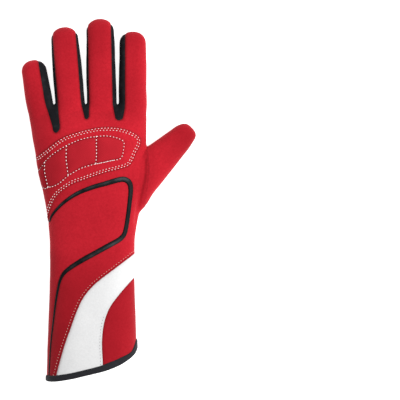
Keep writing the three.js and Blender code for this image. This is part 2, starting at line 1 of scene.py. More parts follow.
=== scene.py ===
# %% [markdown]
# # A long-cuff karting glove
# This lesson dresses a hollow glove, lying palm down. The frame that is loaded first holds its
# plain solids. Each is replaced here by a finer piece: sewn fabric panels with seams that sink in,
# a quilted knuckle pad, a raised black trim, a bound hem and rows of stitches.
# Lengths are worked out in millimetres and turned to metres when a mesh is made.

# %% Load the frame
import bpy
import math
import numpy as np
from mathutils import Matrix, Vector, noise
from mathutils.bvhtree import BVHTree
from mathutils.kdtree import KDTree


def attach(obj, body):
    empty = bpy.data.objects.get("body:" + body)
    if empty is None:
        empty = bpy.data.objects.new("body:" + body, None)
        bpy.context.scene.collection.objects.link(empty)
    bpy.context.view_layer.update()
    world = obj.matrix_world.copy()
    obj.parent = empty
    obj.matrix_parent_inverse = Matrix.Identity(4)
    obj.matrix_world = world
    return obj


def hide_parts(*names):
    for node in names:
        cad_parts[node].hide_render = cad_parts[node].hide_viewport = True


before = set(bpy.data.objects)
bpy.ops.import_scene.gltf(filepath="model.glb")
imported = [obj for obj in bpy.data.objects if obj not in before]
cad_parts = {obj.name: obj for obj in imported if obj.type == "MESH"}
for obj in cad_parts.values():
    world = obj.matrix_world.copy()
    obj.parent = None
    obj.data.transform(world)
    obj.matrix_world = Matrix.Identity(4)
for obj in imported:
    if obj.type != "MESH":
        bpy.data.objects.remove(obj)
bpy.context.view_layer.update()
print("solids:", sorted(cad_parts))

# %% [markdown]
# ## Named sizes
# The sizes are those of the solids, so that every piece lands where its solid is. `ORIGIN` is the
# point of the drawing, wrist at x = 0 and mouth at y = 0, that lies at the frame's origin.

# %% Sizes
MM = 0.001
ORIGIN = np.array([15.212, 171.481, 0.0])
WALL = 1.5
WIDEST_HEIGHT, SEAM_HEIGHT = 6.0, 3.6
CUFF_LENGTH, HAND_LENGTH = 128.0, 134.0
CUFF_WIDTH, WRIST_WIDTH, PALM_WIDTH = 86.5, 80.0, 107.5
PALM_SHIFT, FINGER_ROW_SHIFT = -2.4, -5.2
CUFF_THICKNESS, WRIST_THICKNESS, HAND_THICKNESS = 33.0, 24.0, 26.0
FINGER_THICKNESS, WEB_HEIGHT, CROTCH_GAP, ROOT_DEPTH = 17.0, 12.0, 1.5, 24.0
HEM_RISE, BINDING_WIDTH, STAND_OFF = 41.0, 5.8, 1.3
THUMB_LENGTH, THUMB_WIDTH, THUMB_THICKNESS, THUMB_ANGLE = 42.6, 25.0, 18.0, 45.0
FINGERS = [
    # name, length, width, lean
    ("little", 42.5, 25.7, 9.8),
    ("ring", 73.6, 28.6, 4.7),
    ("middle", 81.0, 28.5, 1.4),
    ("index", 69.0, 27.1, 0.0),
]
WRIST_Y, CROTCH_Y = CUFF_LENGTH, CUFF_LENGTH + HAND_LENGTH
ROW_WIDTH = sum(f[2] for f in FINGERS) + CROTCH_GAP * (len(FINGERS) - 1)
ROW_LEFT = FINGER_ROW_SHIFT - ROW_WIDTH / 2
TUCK = 0.8
VIEW_POINT, VIEW_DISTANCE = np.array([102.1, 171.4]), 2111.0
print("finger row", round(ROW_WIDTH, 1), "mm wide")

# %% [markdown]
# ## Smooth lines through short tables
# A few rows of a table are enough for a smooth form if the values between them follow a curve that
# never overshoots. `through` is such a curve. `smooth_line` does the same for a line in the plan,
# and returns points a fixed distance apart. The small functions after it blend and round.

# %% Curves
def through(xs, ys, at):
    xs, ys, at = (np.asarray(v, float) for v in (xs, ys, at))
    step = np.diff(xs)
    slope = np.diff(ys) / step
    tangent = np.zeros(len(xs))
    tangent[0], tangent[-1] = slope[0], slope[-1]
    product = slope[:-1] * slope[1:]
    total = slope[:-1] + slope[1:]
    tangent[1:-1] = np.where(product > 0, 2 * product / np.where(total == 0, 1, total), 0)
    i = np.clip(np.searchsorted(xs, at) - 1, 0, len(step) - 1)
    t = (at - xs[i]) / step[i]
    return (
        ys[i] * (1 + 2 * t) * (1 - t) ** 2
        + step[i] * tangent[i] * t * (1 - t) ** 2
        + ys[i + 1] * t * t * (3 - 2 * t)
        + step[i] * tangent[i + 1] * t * t * (t - 1)
    )


def smooth_line(points, step=1.0, closed=False):
    p = np.asarray(points, float)
    p = np.vstack([p[-1], p, p[0], p[1]]) if closed else np.vstack([2 * p[0] - p[1], p, 2 * p[-1] - p[-2]])
    t = np.linspace(0, 1, 16, endpoint=False)[:, None]
    out = []
    for a, b, c, d in zip(p[:-3], p[1:-2], p[2:-1], p[3:]):
        bend, twist = 2 * a - 5 * b + 4 * c - d, 3 * b - a - 3 * c + d
        out.append(0.5 * (2 * b + (c - a) * t + bend * t**2 + twist * t**3))
    out = np.vstack(out + [p[-2][None]])
    length = np.concatenate([[0], np.cumsum(np.linalg.norm(np.diff(out, axis=0), axis=1))])
    at = np.linspace(0, length[-1], max(3, int(length[-1] / step) + 1))
    return np.column_stack([np.interp(at, length, out[:, k]) for k in range(out.shape[1])])


def sideways(line, distance):
    ahead = np.gradient(line, axis=0)
    ahead /= np.linalg.norm(ahead, axis=1)[:, None] + 1e-9
    return line + distance * np.column_stack([-ahead[:, 1], ahead[:, 0]])


def ramp(value, start, end):
    """0 up to start, 1 from end on, and straight between them."""
    return np.clip((value - start) / (end - start), 0, 1)


def ease(share):
    return share * share * (3 - 2 * share)


def bell(distance, width):
    return np.exp(-((distance / width) ** 2))


def rounded(depth, radius):
    """The quarter circle over which an edge is rounded off."""
    return np.sqrt(np.clip(1 - (1 - ramp(depth, 0, radius)) ** 2, 0, 1))


# %% [markdown]
# ## The form
# The glove's form is a few tubes, one for hand and cuff, one for each finger and one for the thumb,
# each lofted through sections. A section is a superellipse whose underside is flat, because fabric
# settles on the surface that it lies on.

# %% Sections of the hand, the fingers and the thumb
HAND_SECTIONS = [
    # along, left, right, height
    (1.0, 2.0, 2.0, 2.0), (0.96, 1.85, 1.9, 1.72), (0.9, 1.62, 1.7, 1.38), (0.83, 1.34, 1.4, 1.14),
    (0.74, 1.0, 1.1, 1.02), (0.64, 0.84, 1.1, 1.0), (0.53, 0.66, 1.0, 1.0),
    (0.41, 0.44, 0.86, 0.93), (0.28, 0.23, 0.56, 0.66), (0.15, 0.08, 0.23, 0.27),
    (0.0, 0.0, 0.0, 0.0),
]
CUFF_SECTIONS = [
    # along, width, height, lift
    (0.15, 0.0, 0.05, 0), (0.33, 0.1, 0.22, 0), (0.48, 0.26, 0.42, 0), (0.62, 0.48, 0.63, 1),
    (0.78, 0.72, 0.82, 1), (1.0, 1.0, 1.0, 1), (1.1, 1.12, 1.08, 1),
]
FINGER_SECTIONS = [
    # along, width, height
    (-1.0, 0.7, 0.5), (-0.55, 0.9, 0.88), (0.0, 0.98, 1.0), (0.3, 0.98, 1.0), (0.6, 0.965, 0.98),
    (1.0, 0.92, 0.9),
]
THUMB_SECTIONS = [
    # up_along, up_out, low_along, low_out, height
    (-0.62, 0.16, -1.28, 1.6, 0.8), (-0.38, 0.02, -0.95, 1.56, 1.0),
    (-0.16, -0.03, -0.66, 1.45, 1.06), (0.05, 0.03, -0.31, 1.38, 1.03),
    (0.23, 0.09, 0.05, 1.31, 0.98), (0.42, 0.15, 0.34, 1.25, 0.94), (0.62, 0.2, 0.6, 1.19, 0.88),
    (0.8, 0.255, 0.8, 1.12, 0.8), (0.92, 0.34, 0.92, 1.06, 0.66), (0.985, 0.44, 0.985, 0.96, 0.46),
    (1.015, 0.57, 1.015, 0.81, 0.2),
]
SIDES = 96
DOME_SHARE, DOME_POWER = 0.43, 2.1


def ring(left, right, above, below):
    angle = 2 * np.pi * np.arange(SIDES) / SIDES
    c, s = np.cos(angle), np.sin(angle)
    power = np.where(s >= 0, 2 / 2.6, 2 / 3)
    across = np.sign(c) * np.abs(c) ** power
    rise = np.abs(s) ** power
    z = np.where(s >= 0, above * rise, -np.minimum(below, below * 1.3 * rise))
    middle, half = (left + right) / 2, (right - left) / 2
    return np.column_stack([middle[0] + half[0] * across, middle[1] + half[1] * across, WIDEST_HEIGHT + z])


def stage(share, wrist, palm, roots):
    share = np.asarray(share, float)
    return np.where(share <= 1, wrist + (palm - wrist) * share, palm + (roots - palm) * (share - 1))


hand_rows = [
    (
        WRIST_Y + HAND_LENGTH * along,
        stage(left, -WRIST_WIDTH / 2, PALM_SHIFT - PALM_WIDTH / 2, ROW_LEFT + TUCK),
        stage(right, WRIST_WIDTH / 2, PALM_SHIFT + PALM_WIDTH / 2, ROW_LEFT + ROW_WIDTH - TUCK),
        stage(height, WRIST_THICKNESS, HAND_THICKNESS, WEB_HEIGHT),
        0.0,
    )
    for along, left, right, height in HAND_SECTIONS
] + [
    (
        WRIST_Y - CUFF_LENGTH * along,
        -(WRIST_WIDTH + (CUFF_WIDTH - WRIST_WIDTH) * width) / 2,
        (WRIST_WIDTH + (CUFF_WIDTH - WRIST_WIDTH) * width) / 2,
        WRIST_THICKNESS + (CUFF_THICKNESS - WRIST_THICKNESS) * height,
        STAND_OFF * lift,
    )
    for along, width, height, lift in CUFF_SECTIONS
]
hand_rows = np.array(hand_rows, float)[::-1]


def hand_at(y):
    """Left edge, right edge, top and floor of the hand's form at y."""
    return [through(hand_rows[:, 0], hand_rows[:, k], y) for k in (1, 2, 3, 4)]


def plan_point(across, along):
    y = WRIST_Y + along * (CUFF_LENGTH if along < 0 else HAND_LENGTH)
    left, right = (np.interp(y, hand_rows[:, 0], hand_rows[:, k]) for k in (1, 2))
    return np.array([left + (right - left) * (across + 1) / 2, y])


def plan(rows):
    return np.array([plan_point(row[0], row[1]) for row in rows])


def seen(line, height=24.0):
    """A line that was measured from above, moved to where it lies at its height on the glove."""
    return VIEW_POINT + (line - VIEW_POINT) * (1 - height / VIEW_DISTANCE)


def hand_rings():
    web_start = CROTCH_Y - 6
    y = np.concatenate([np.arange(hand_rows[0, 0], web_start, 2.0), np.linspace(web_start, CROTCH_Y, 6)])
    left, right, top, floor = hand_at(y)
    return [
        ring(np.array([l, v]), np.array([r, v]), t - WIDEST_HEIGHT, WIDEST_HEIGHT - f)
        for v, l, r, t, f in zip(y, left, right, top, floor)
    ]


finger_frames = []
walked = ROW_LEFT
for name, length, width, lean in FINGERS:
    lean = math.radians(lean)
    finger_frames.append(
        {
            "root": np.array([walked + width / 2, CROTCH_Y]),
            "ahead": np.array([-math.sin(lean), math.cos(lean)]),
            "right": np.array([math.cos(lean), math.sin(lean)]),
            "length": length,
            "width": width,
        }
    )
    walked += width + CROTCH_GAP


def on_finger(f, along, out):
    return f["root"] + along * f["ahead"] + out * f["right"]


def finger_rings(f):
    dome = f["width"] * DOME_SHARE
    share, width, height = np.array(FINGER_SECTIONS).T
    places = np.where(share < 0, share * ROOT_DEPTH, share * (f["length"] - dome))
    at = np.linspace(places[0], places[-1], 40)
    rows = [(a, w, h, 1.0) for a, w, h in zip(at, through(places, width, at), through(places, height, at))]
    _, last_width, last_height, _ = rows[-1]
    for s in np.sin(np.linspace(0, 0.985 * np.pi / 2, 14))[1:]:
        narrow = (1 - s**DOME_POWER) ** (1 / DOME_POWER)
        rows.append((f["length"] - dome + dome * s, last_width * narrow, last_height * narrow, narrow))
    half, rise = f["width"] / 2, FINGER_THICKNESS - WIDEST_HEIGHT
    return [
        ring(on_finger(f, a, -half * w), on_finger(f, a, half * w), rise * h, WIDEST_HEIGHT * d)
        for a, w, h, d in rows
    ]


thumb_crotch = plan_point(1.0, 0.7)
thumb_lean = math.radians(THUMB_ANGLE)
thumb_ahead = np.array([math.sin(thumb_lean), math.cos(thumb_lean)])
thumb_out = np.array([math.cos(thumb_lean), -math.sin(thumb_lean)])


def on_thumb(along, out):
    return thumb_crotch + along * THUMB_LENGTH * thumb_ahead + out * THUMB_WIDTH * thumb_out


def thumb_rings():
    table = np.array(THUMB_SECTIONS)
    at = np.linspace(0, len(table) - 1, 61)
    columns = [through(np.arange(len(table)), column, at) for column in table.T]
    rise = THUMB_THICKNESS - WIDEST_HEIGHT
    return [
        ring(on_thumb(a, b), on_thumb(c, d), rise * h, WIDEST_HEIGHT * min(1.0, h / 0.66))
        for a, b, c, d, h in zip(*columns)
    ]


print("hand form runs from", hand_rows[0, 0], "to", hand_rows[-1, 0], "mm")

# %% [markdown]
# ## One skin from six tubes
# The tubes pass through each other. A voxel remesh makes one closed skin of them with even, small
# faces, which also suits the cuts and the seams that follow. A few rounds of smoothing then round
# off the hard lines where a finger leaves the hand.

# %% Join and remesh
def new_object(name, verts, faces):
    mesh = bpy.data.meshes.new(name)
    mesh.from_pydata([tuple(v) for v in verts], [], [tuple(f) for f in faces])
    mesh.update()
    made = bpy.data.objects.new(name, mesh)
    bpy.context.scene.collection.objects.link(made)
    return made


def evaluated_mesh(obj):
    graph = bpy.context.evaluated_depsgraph_get()
    return bpy.data.meshes.new_from_object(obj.evaluated_get(graph))


def arrays(mesh):
    verts = np.empty(len(mesh.vertices) * 3)
    mesh.vertices.foreach_get("co", verts)
    mesh.calc_loop_triangles()
    tris = np.empty(len(mesh.loop_triangles) * 3, dtype=np.int64)
    mesh.loop_triangles.foreach_get("vertices", tris)
    return verts.reshape(-1, 3), tris.reshape(-1, 3)


def tubes(groups):
    verts, faces, start = [], [], 0
    for rings in groups:
        count = len(rings)
        verts.extend(np.vstack(rings))
        for i in range(count - 1):
            for k in range(SIDES):
                a, b = start + i * SIDES + k, start + i * SIDES + (k + 1) % SIDES
                faces.append((a, b, b + SIDES, a + SIDES))
        faces.append(tuple(start + k for k in reversed(range(SIDES))))
        faces.append(tuple(start + (count - 1) * SIDES + k for k in range(SIDES)))
        start += count * SIDES
    return np.array(verts), faces


VOXEL = 0.95
ROOM, REACH = 3.0, 1.6
ROOM_START, ROOM_FULL = CROTCH_Y - 16, CROTCH_Y - 4
gap_lines = []
for a, b in zip(finger_frames[:-1], finger_frames[1:]):
    foot = (on_finger(a, 0, a["width"] / 2) + on_finger(b, 0, -b["width"] / 2)) / 2
    gap_lines.append((foot, (a["ahead"] + b["ahead"]) / 2))


def room(points):
    """How far sideways each place is moved when the gaps between the fingers are spread."""
    rise = ease(ramp(points[:, 1], ROOM_START, ROOM_FULL))
    out = np.zeros(len(points))
    for foot, ahead in gap_lines:
        middle = foot[0] + (points[:, 1] - foot[1]) * ahead[0] / ahead[1]
        out += ROOM / 2 * np.clip((points[:, 0] - middle) / REACH, -1, 1)
    return out * rise


verts, faces = tubes([hand_rings(), thumb_rings()] + [finger_rings(f) for f in finger_frames])
verts[:, 0] += room(verts)
rough = new_object("rough", verts * MM, faces)
remesh = rough.modifiers.new("skin", "REMESH")
remesh.mode = "VOXEL"
remesh.voxel_size = VOXEL * MM
skin = evaluated_mesh(rough)
P, T = arrays(skin)
P /= MM
bpy.data.objects.remove(rough)
fingers = P[:, 1] > ROOM_START
spread = P[fingers].copy()
closed = spread.copy()
for _ in range(80):
    closed[:, 0] = spread[:, 0] - room(closed)
P[fingers] = closed
print("skin:", len(P), "points,", len(T), "triangles")

# %% [markdown]
# Smoothing with two opposite steps, one that shrinks and one that swells a little less, takes out
# bumps without making the glove thinner.

# %% Smooth the skin
def edges_of(tris):
    e = np.sort(np.vstack([tris[:, [0, 1]], tris[:, [1, 2]], tris[:, [2, 0]]]), axis=1)
    return np.unique(e, axis=0)


def average(values, edges, count):
    total = np.empty_like(values)
    number = np.bincount(edges.ravel(), minlength=count)
    for k in range(values.shape[1]):
        total[:, k] = np.bincount(edges[:, 0], values[edges[:, 1], k], count) + np.bincount(
            edges[:, 1], values[edges[:, 0], k], count
        )
    return total / np.maximum(number, 1)[:, None]


def relax(points, edges, rounds):
    for _ in range(rounds):
        for factor in (0.6, -0.62):
            points = points + factor * (average(points, edges, len(points)) - points)
    return points


def normals_of(points, tris):
    a, b, c = points[tris[:, 0]], points[tris[:, 1]], points[tris[:, 2]]
    face = np.cross(b - a, c - a)
    out = np.zeros_like(points)
    for k in range(3):
        for j in range(3):
            out[:, j] += np.bincount(tris[:, k], face[:, j], len(points))
    return out / (np.linalg.norm(out, axis=1)[:, None] + 1e-12)


SKIN_ROUNDS, ROOT_ROUNDS = 10, 22
E = edges_of(T)
P = relax(P, E, SKIN_ROUNDS)
roots = bell(P[:, 1] - CROTCH_Y + 6, 14) * ramp(P[:, 2], 8, 10)
for _ in range(ROOT_ROUNDS):
    P = P + 0.5 * roots[:, None] * (average(P, E, len(P)) - P)
P[:, 2] = np.maximum(P[:, 2], 0)
print("highest point", P[:, 2].max().round(1), "mm")

# %% [markdown]
# ## Folds
# Stuffed fabric is never even. Low swells come from smooth noise, and the few folds that show are
# drawn as lines: a fold pushes the skin out or in by some height over some width.

# %% Swells and folds
THUMB_SEAM = [
    # across, along
    (1.03, 0.71), (1.02, 0.66), (1.04, 0.6), (1.05, 0.52), (1.05, 0.44), (1.06, 0.37), (1.07, 0.28),
    (1.06, 0.2), (1.08, 0.1), (1.2, 0.02),
]
FOLDS = [
    # line of across and along, height, width
    ([(0.975, 0.6), (0.97, 0.5), (0.945, 0.41), (0.94, 0.33), (0.945, 0.25), (0.97, 0.17)], -1.35, 1.9),
    ([(0.86, 0.6), (0.85, 0.48), (0.85, 0.36), (0.87, 0.26)], 0.5, 3.2),
    ([(-0.9, -0.02), (-0.5, -0.035), (-0.2, -0.03)], -0.25, 4.0),
    ([(0.55, -0.02), (0.8, 0.03), (0.98, 0.06)], -0.35, 3.0),
]
SWELLS = [
    # height, scale, seed
    (0.42, 26.0, 3.1), (0.16, 9.0, 11.7),
]


def line_distance(points, line):
    best = np.full(len(points), 1e9)
    for a, b in zip(line[:-1], line[1:]):
        ab = b - a
        t = np.clip(((points[:, :2] - a) @ ab) / (ab @ ab + 1e-12), 0, 1)
        best = np.minimum(best, np.linalg.norm(points[:, :2] - a - t[:, None] * ab, axis=1))
    return best


def swell(points, scale, seed):
    return np.array([noise.noise(Vector(p) / scale + Vector((seed, 0, 0))) for p in points])


N = normals_of(P, T)
move = sum(height * swell(P, scale, seed) for height, scale, seed in SWELLS)
upper = ramp(P[:, 2], WIDEST_HEIGHT, WIDEST_HEIGHT + 5)
for rows, height, width in FOLDS:
    move += height * upper * bell(line_distance(P, smooth_line(plan(rows), 3.0)), width)
move *= ramp(P[:, 2], 0, 3)
P = P + N * move[:, None]
P = relax(P, E, 2)
P[:, 2] = np.maximum(P[:, 2], 0)
N = normals_of(P, T)
print("folds move the skin by", move.min().round(2), "to", move.max().round(2), "mm")

# %% [markdown]
# ## Seam lines
# A panel's edge is where a signed distance is zero. For lines in the plan that is the distance to an
# outline, negative inside it. The outlines come from short tables of shares across and along the back.

# %% Lines on the back
TRIM_LINE = [
    # across, along, width
    (-1.0, 0.17, 0.36), (-0.92, 0.213, 0.5), (-0.77, 0.265, 0.6), (-0.57, 0.32, 0.74),
    (-0.32, 0.372, 0.88), (-0.04, 0.412, 1.0), (0.23, 0.44, 1.08), (0.5, 0.468, 1.16),
    (0.62, 0.466, 1.22), (0.7, 0.438, 1.18), (0.73, 0.385, 1.05), (0.74, 0.3, 0.96),
    (0.75, 0.22, 0.94), (0.75, 0.13, 0.96), (0.72, 0.08, 1.0), (0.63, 0.045, 1.08),
    (0.44, 0.01, 1.12), (0.15, -0.04, 1.12), (-0.2, -0.1, 1.1), (-0.5, -0.158, 1.0),
    (-0.67, -0.202, 0.82), (-0.76, -0.252, 0.6), (-0.815, -0.32, 0.5), (-0.868, -0.43, 0.4),
    (-0.908, -0.57, 0.32), (-0.945, -0.72, 0.26), (-0.962, -0.88, 0.24), (-0.966, -0.97, 0.24),
]
STRIPE_UPPER = [
    (1.3, 0.025), (1.1, -0.032), (0.86, -0.092), (0.48, -0.182), (0.19, -0.25), (-0.04, -0.315),
    (-0.24, -0.4), (-0.38, -0.5), (-0.52, -0.63), (-0.65, -0.76), (-0.79, -0.94), (-0.9, -1.1),
]
STRIPE_LOWER = [
    (1.3, -0.105), (1.1, -0.198), (0.88, -0.27), (0.6, -0.372), (0.4, -0.46), (0.27, -0.57),
    (0.22, -0.7), (0.23, -0.84), (0.26, -1.0), (0.3, -1.1),
]
PANEL_OUTLINE = [
    (-1.13, 0.6), (-0.984, 0.636), (-0.827, 0.676), (-0.693, 0.712), (-0.541, 0.753),
    (-0.398, 0.781), (-0.232, 0.803), (-0.087, 0.819), (0.08, 0.834), (0.229, 0.841),
    (0.397, 0.842), (0.545, 0.836), (0.706, 0.816), (0.84, 0.787), (0.895, 0.756), (0.888, 0.712),
    (0.816, 0.658), (0.76, 0.606), (0.7, 0.571), (0.611, 0.553), (0.455, 0.536), (0.282, 0.52),
    (0.13, 0.503), (-0.042, 0.481), (-0.199, 0.461), (-0.374, 0.44), (-0.526, 0.41),
    (-0.683, 0.371), (-0.808, 0.327), (-0.9, 0.277), (-0.97, 0.235), (-1.13, 0.15),
]
CELLS_OUTLINE = [
    (-1.06, 0.44), (-1.05, 0.52), (-0.971, 0.545), (-0.871, 0.589), (-0.752, 0.631),
    (-0.668, 0.653), (-0.553, 0.68), (-0.422, 0.708), (-0.266, 0.735), (-0.174, 0.749),
    (-0.053, 0.761), (0.05, 0.768), (0.241, 0.775), (0.359, 0.773), (0.446, 0.765), (0.539, 0.752),
    (0.587, 0.737), (0.596, 0.717), (0.584, 0.684), (0.562, 0.646), (0.532, 0.622), (0.47, 0.612),
    (0.332, 0.602), (0.207, 0.591), (0.067, 0.58), (-0.074, 0.567), (-0.219, 0.549),
    (-0.349, 0.524), (-0.469, 0.498), (-0.575, 0.468), (-0.673, 0.442), (-0.79, 0.423),
    (-0.899, 0.415), (-0.98, 0.408),
]
HEM_LINE = [
    (-1.4, 0.0), (-0.9, 0.012), (-0.7, 0.034), (-0.4, 0.09), (-0.05, 0.178), (0.3, 0.268),
    (0.6, 0.385), (0.78, 0.493), (0.88, 0.57), (0.945, 0.645), (0.985, 0.735), (1.01, 0.83),
    (1.05, 1.02), (1.12, 1.3),
]
GUSSETS = [
    # name, first, second, depth, end, shift
    ("fourchette_little_ring", 0.46, 0.8, 28.0, 3.6, 2.5),
    ("fourchette_ring_middle", 0.79, 0.84, 14.8, 2.3, 1.1),
    ("fourchette_middle_index", 0.77, 0.54, 15.6, 3.9, 1.8),
]
GUSSET_FOOT = [
    # out, up
    (-1.0, 0.25), (-0.7, 0.07), (0.0, 0.0), (0.7, 0.07), (1.0, 0.25),
]
UNDER_SHARE = 0.86

hem_line = smooth_line([plan_point(a, -1) + [0, HEM_RISE * r] for a, r in HEM_LINE], 1.5)
FAR = 200.0


def outline_distance(points, outline):
    """Signed distance in the plan to a closed outline, negative inside."""
    closed = np.vstack([outline, outline[:1]])
    inside = np.zeros(len(points), bool)
    x, y = points[:, 0], points[:, 1]
    for (ax, ay), (bx, by) in zip(closed[:-1], closed[1:]):
        if ay != by:
            inside ^= ((ay > y) != (by > y)) & (x < (bx - ax) * (y - ay) / (by - ay) + ax)
    return np.where(inside, -1, 1) * line_distance(points, closed)


def gusset_outline(index, first, second, depth, end, shift):
    a, b = finger_frames[index], finger_frames[index + 1]
    out_a, out_b = first * a["width"] / 2, -second * b["width"] / 2
    low = gap_lines[index][0] + [shift, -depth]
    core = smooth_line(
        [
            on_finger(a, a["length"] / 3, out_a),
            on_finger(a, 0, out_a),
            *(low + [out * end, up * depth] for out, up in GUSSET_FOOT),
            on_finger(b, 0, out_b),
            on_finger(b, a["length"] / 3, out_b),
        ],
        1.0,
    )
    return np.vstack([on_finger(a, a["length"] + 6, out_a), core, on_finger(b, b["length"] + 6, out_b)])


def hem_field(points):
    right, left = [FAR, hem_line[-1][1]], [-FAR, hem_line[0][1]]
    line = np.vstack([hem_line, [right, [FAR, FAR * 3], [-FAR, FAR * 3], left]])
    return outline_distance(points, line)


def side_field(points):
    return SEAM_HEIGHT - points[:, 2]


def gusset_field(index):
    _, first, second, depth, end, shift = GUSSETS[index]
    back = gusset_outline(index, first, second, depth, end, shift)
    under = gusset_outline(index, UNDER_SHARE, UNDER_SHARE, depth * 0.3, end / 2, shift)

    def field(points):
        share = ease(ramp(points[:, 2], SEAM_HEIGHT + 2, SEAM_HEIGHT - 2))
        near = np.abs(points[:, 1] - CROTCH_Y - 20) < 90
        out = np.full(len(points), 50.0)
        p = points[near]
        out[near] = (1 - share[near]) * outline_distance(p, back) + share[near] * outline_distance(p, under)
        return out

    return field


trim_line = smooth_line(seen(plan(TRIM_LINE)), 1.0)
wrist_outline = np.vstack([trim_line, plan_point(-0.95, -1.2), [-FAR, -FAR], [-FAR, trim_line[0][1]]])
stripe_upper = smooth_line(seen(plan(STRIPE_UPPER)), 1.5)
stripe_lower = smooth_line(seen(plan(STRIPE_LOWER)), 1.5)


def below_line(line):
    return np.vstack([line, [[line[-1][0], -FAR], [FAR, -FAR], [FAR, line[0][1]]]])


thumb_line = smooth_line(plan(THUMB_SEAM), 1.5)
thumb_top = thumb_line[0] + [0, 2]
beyond_thumb = [[FAR, thumb_line[-1][1]], [FAR, 300], [thumb_top[0], 300]]
thumb_outline = np.vstack([thumb_top, thumb_line, beyond_thumb])
panel_outline = smooth_line(seen(plan(PANEL_OUTLINE)), 1.0, closed=True)
cells_outline = smooth_line(seen(plan(CELLS_OUTLINE)), 1.0, closed=True)

FIELDS = {
    "hem": hem_field,
    "side": side_field,
    "wrist": lambda p: outline_distance(p, wrist_outline),
    "stripe": lambda p: outline_distance(p, below_line(stripe_upper)),
    "corner": lambda p: outline_distance(p, below_line(stripe_lower)),
    "thumb": lambda p: outline_distance(p, thumb_outline),
}
for i, gusset in enumerate(GUSSETS):
    FIELDS[gusset[0]] = gusset_field(i)
print(len(FIELDS), "seam fields")

# %% [markdown]
# ## Cutting the skin
# `cut` runs a field's zero line through the triangles: each triangle that the line crosses is split,
# so that every panel gets a clean edge and its neighbour has the very same points along it.

# %% Cut along a field
def cut(points, tris, values, snap=0.1):
    side = np.where(np.abs(values) < snap, 0, np.sign(values)).astype(int)
    crossing = np.sort(np.vstack([tris[:, [0, 1]], tris[:, [1, 2]], tris[:, [2, 0]]]), axis=1)
    crossing = np.unique(crossing[side[crossing[:, 0]] * side[crossing[:, 1]] < 0], axis=0)
    if not len(crossing):
        return points, tris
    a, b = crossing[:, 0], crossing[:, 1]
    t = (values[a] / (values[a] - values[b]))[:, None]
    fresh = points[a] + t * (points[b] - points[a])
    key = crossing[:, 0] * (len(points) + 1) + crossing[:, 1]
    order = np.argsort(key)
    sorted_key = key[order]

    def middle(u, v):
        k = np.minimum(u, v) * (len(points) + 1) + np.maximum(u, v)
        return len(points) + order[np.searchsorted(sorted_key, k)]

    s = side[tris]
    mixed = (s.min(axis=1) < 0) & (s.max(axis=1) > 0)
    out = [tris[~mixed]]
    t3, s3 = tris[mixed], s[mixed]
    through_corner = (s3 == 0).any(axis=1)
    for k in range(3):
        i, j, m = k, (k + 1) % 3, (k + 2) % 3
        one = t3[through_corner & (s3[:, i] == 0)]
        if len(one):
            x, y, z = one[:, i], one[:, j], one[:, m]
            w = middle(y, z)
            out += [np.column_stack([x, y, w]), np.column_stack([x, w, z])]
        alone = ~through_corner & (s3[:, i] != s3[:, j]) & (s3[:, i] != s3[:, m])
        two = t3[alone]
        if len(two):
            x, y, z = two[:, i], two[:, j], two[:, m]
            v, w = middle(x, y), middle(x, z)
            out += [np.column_stack([x, v, w]), np.column_stack([v, y, z]), np.column_stack([v, z, w])]
    return np.vstack([points, fresh]), np.vstack(out)


def tidy(points, tris):
    used = np.unique(tris)
    place = np.full(len(points), -1)
    place[used] = np.arange(len(used))
    return points[used], place[tris]


SHELL_START = 0.9
CP, CT = P, T
for name, field in FIELDS.items():
    values = field(CP)
    CP, CT = cut(CP, CT, values + SHELL_START if name == "hem" else values)
centre = CP[CT].mean(axis=1)
value = {name: field(centre) for name, field in FIELDS.items()}
LABELS = ["none", "back_panel", "wrist_panel", "stripe_panel", "corner_panel", "palm_panel", "thumb"]
LABELS += [gusset[0] for gusset in GUSSETS]
label = np.full(len(CT), LABELS.index("back_panel"))
for panel in ("stripe", "corner", "wrist"):
    label[value[panel] < 0] = LABELS.index(panel + "_panel")
label[value["side"] > 0] = LABELS.index("palm_panel")
for panel in LABELS[-len(GUSSETS) :] + ["thumb"]:
    label[value[panel] < 0] = LABELS.index(panel)
label[value["hem"] > -SHELL_START] = 0
print({name: int((label == i).sum()) for i, name in enumerate(LABELS)})

# %% [markdown]
# ## From patches to sewn panels
# A seam pulls the fabric in, so each panel's skin sinks towards its edge. Where one panel is folded
# over another, its edge stands up instead. A table gives the height and width of each. Near its seams
# the cloth gets a painted shade, but the raised seam gets no such dark line, as if it lay `PALE_SEAM`
# further away. The patch then gets its wall: a second skin inside, joined to the first round the edge.
# A second table says in which zones of the plan, in millimetres, the red gets a painted shade, darker
# where the lamp's light falls off.

# %% Thicken and shape the panels
RAISED_SEAM = (0.2, 1.2)
SEAMS = {
    # panel and neighbour: height at the edge, width, both in millimetres
    ("back_panel", "palm_panel"): (-0.5, 1.5),
    ("back_panel", "wrist_panel"): (-0.25, 2.2),
    ("back_panel", "stripe_panel"): (0.32, 1.5),
    ("back_panel", "thumb"): RAISED_SEAM,
    ("wrist_panel", "back_panel"): (-0.25, 2.2),
    ("stripe_panel", "back_panel"): (-0.4, 1.6),
    ("stripe_panel", "corner_panel"): (0.25, 1.6),
    ("corner_panel", "stripe_panel"): (-0.3, 1.8),
    ("thumb", "back_panel"): RAISED_SEAM,
    ("palm_panel", "back_panel"): (-0.5, 1.4),
}
USUAL_SEAM = (-0.5, 1.3)
PALE_SEAM = 1.6
X, Y = 0, 1
OFF_KNUCKLES, KNUCKLES_Y, KNUCKLES_REACH = 0.46, 236, 48
CUFF_SLANT = 0.35
ROOTS = (Y, 232, 248), (Y, 300, 280)
HAND_ALONE = (Y, 150, 180), (Y, 285, 255), (X, 62, 54)
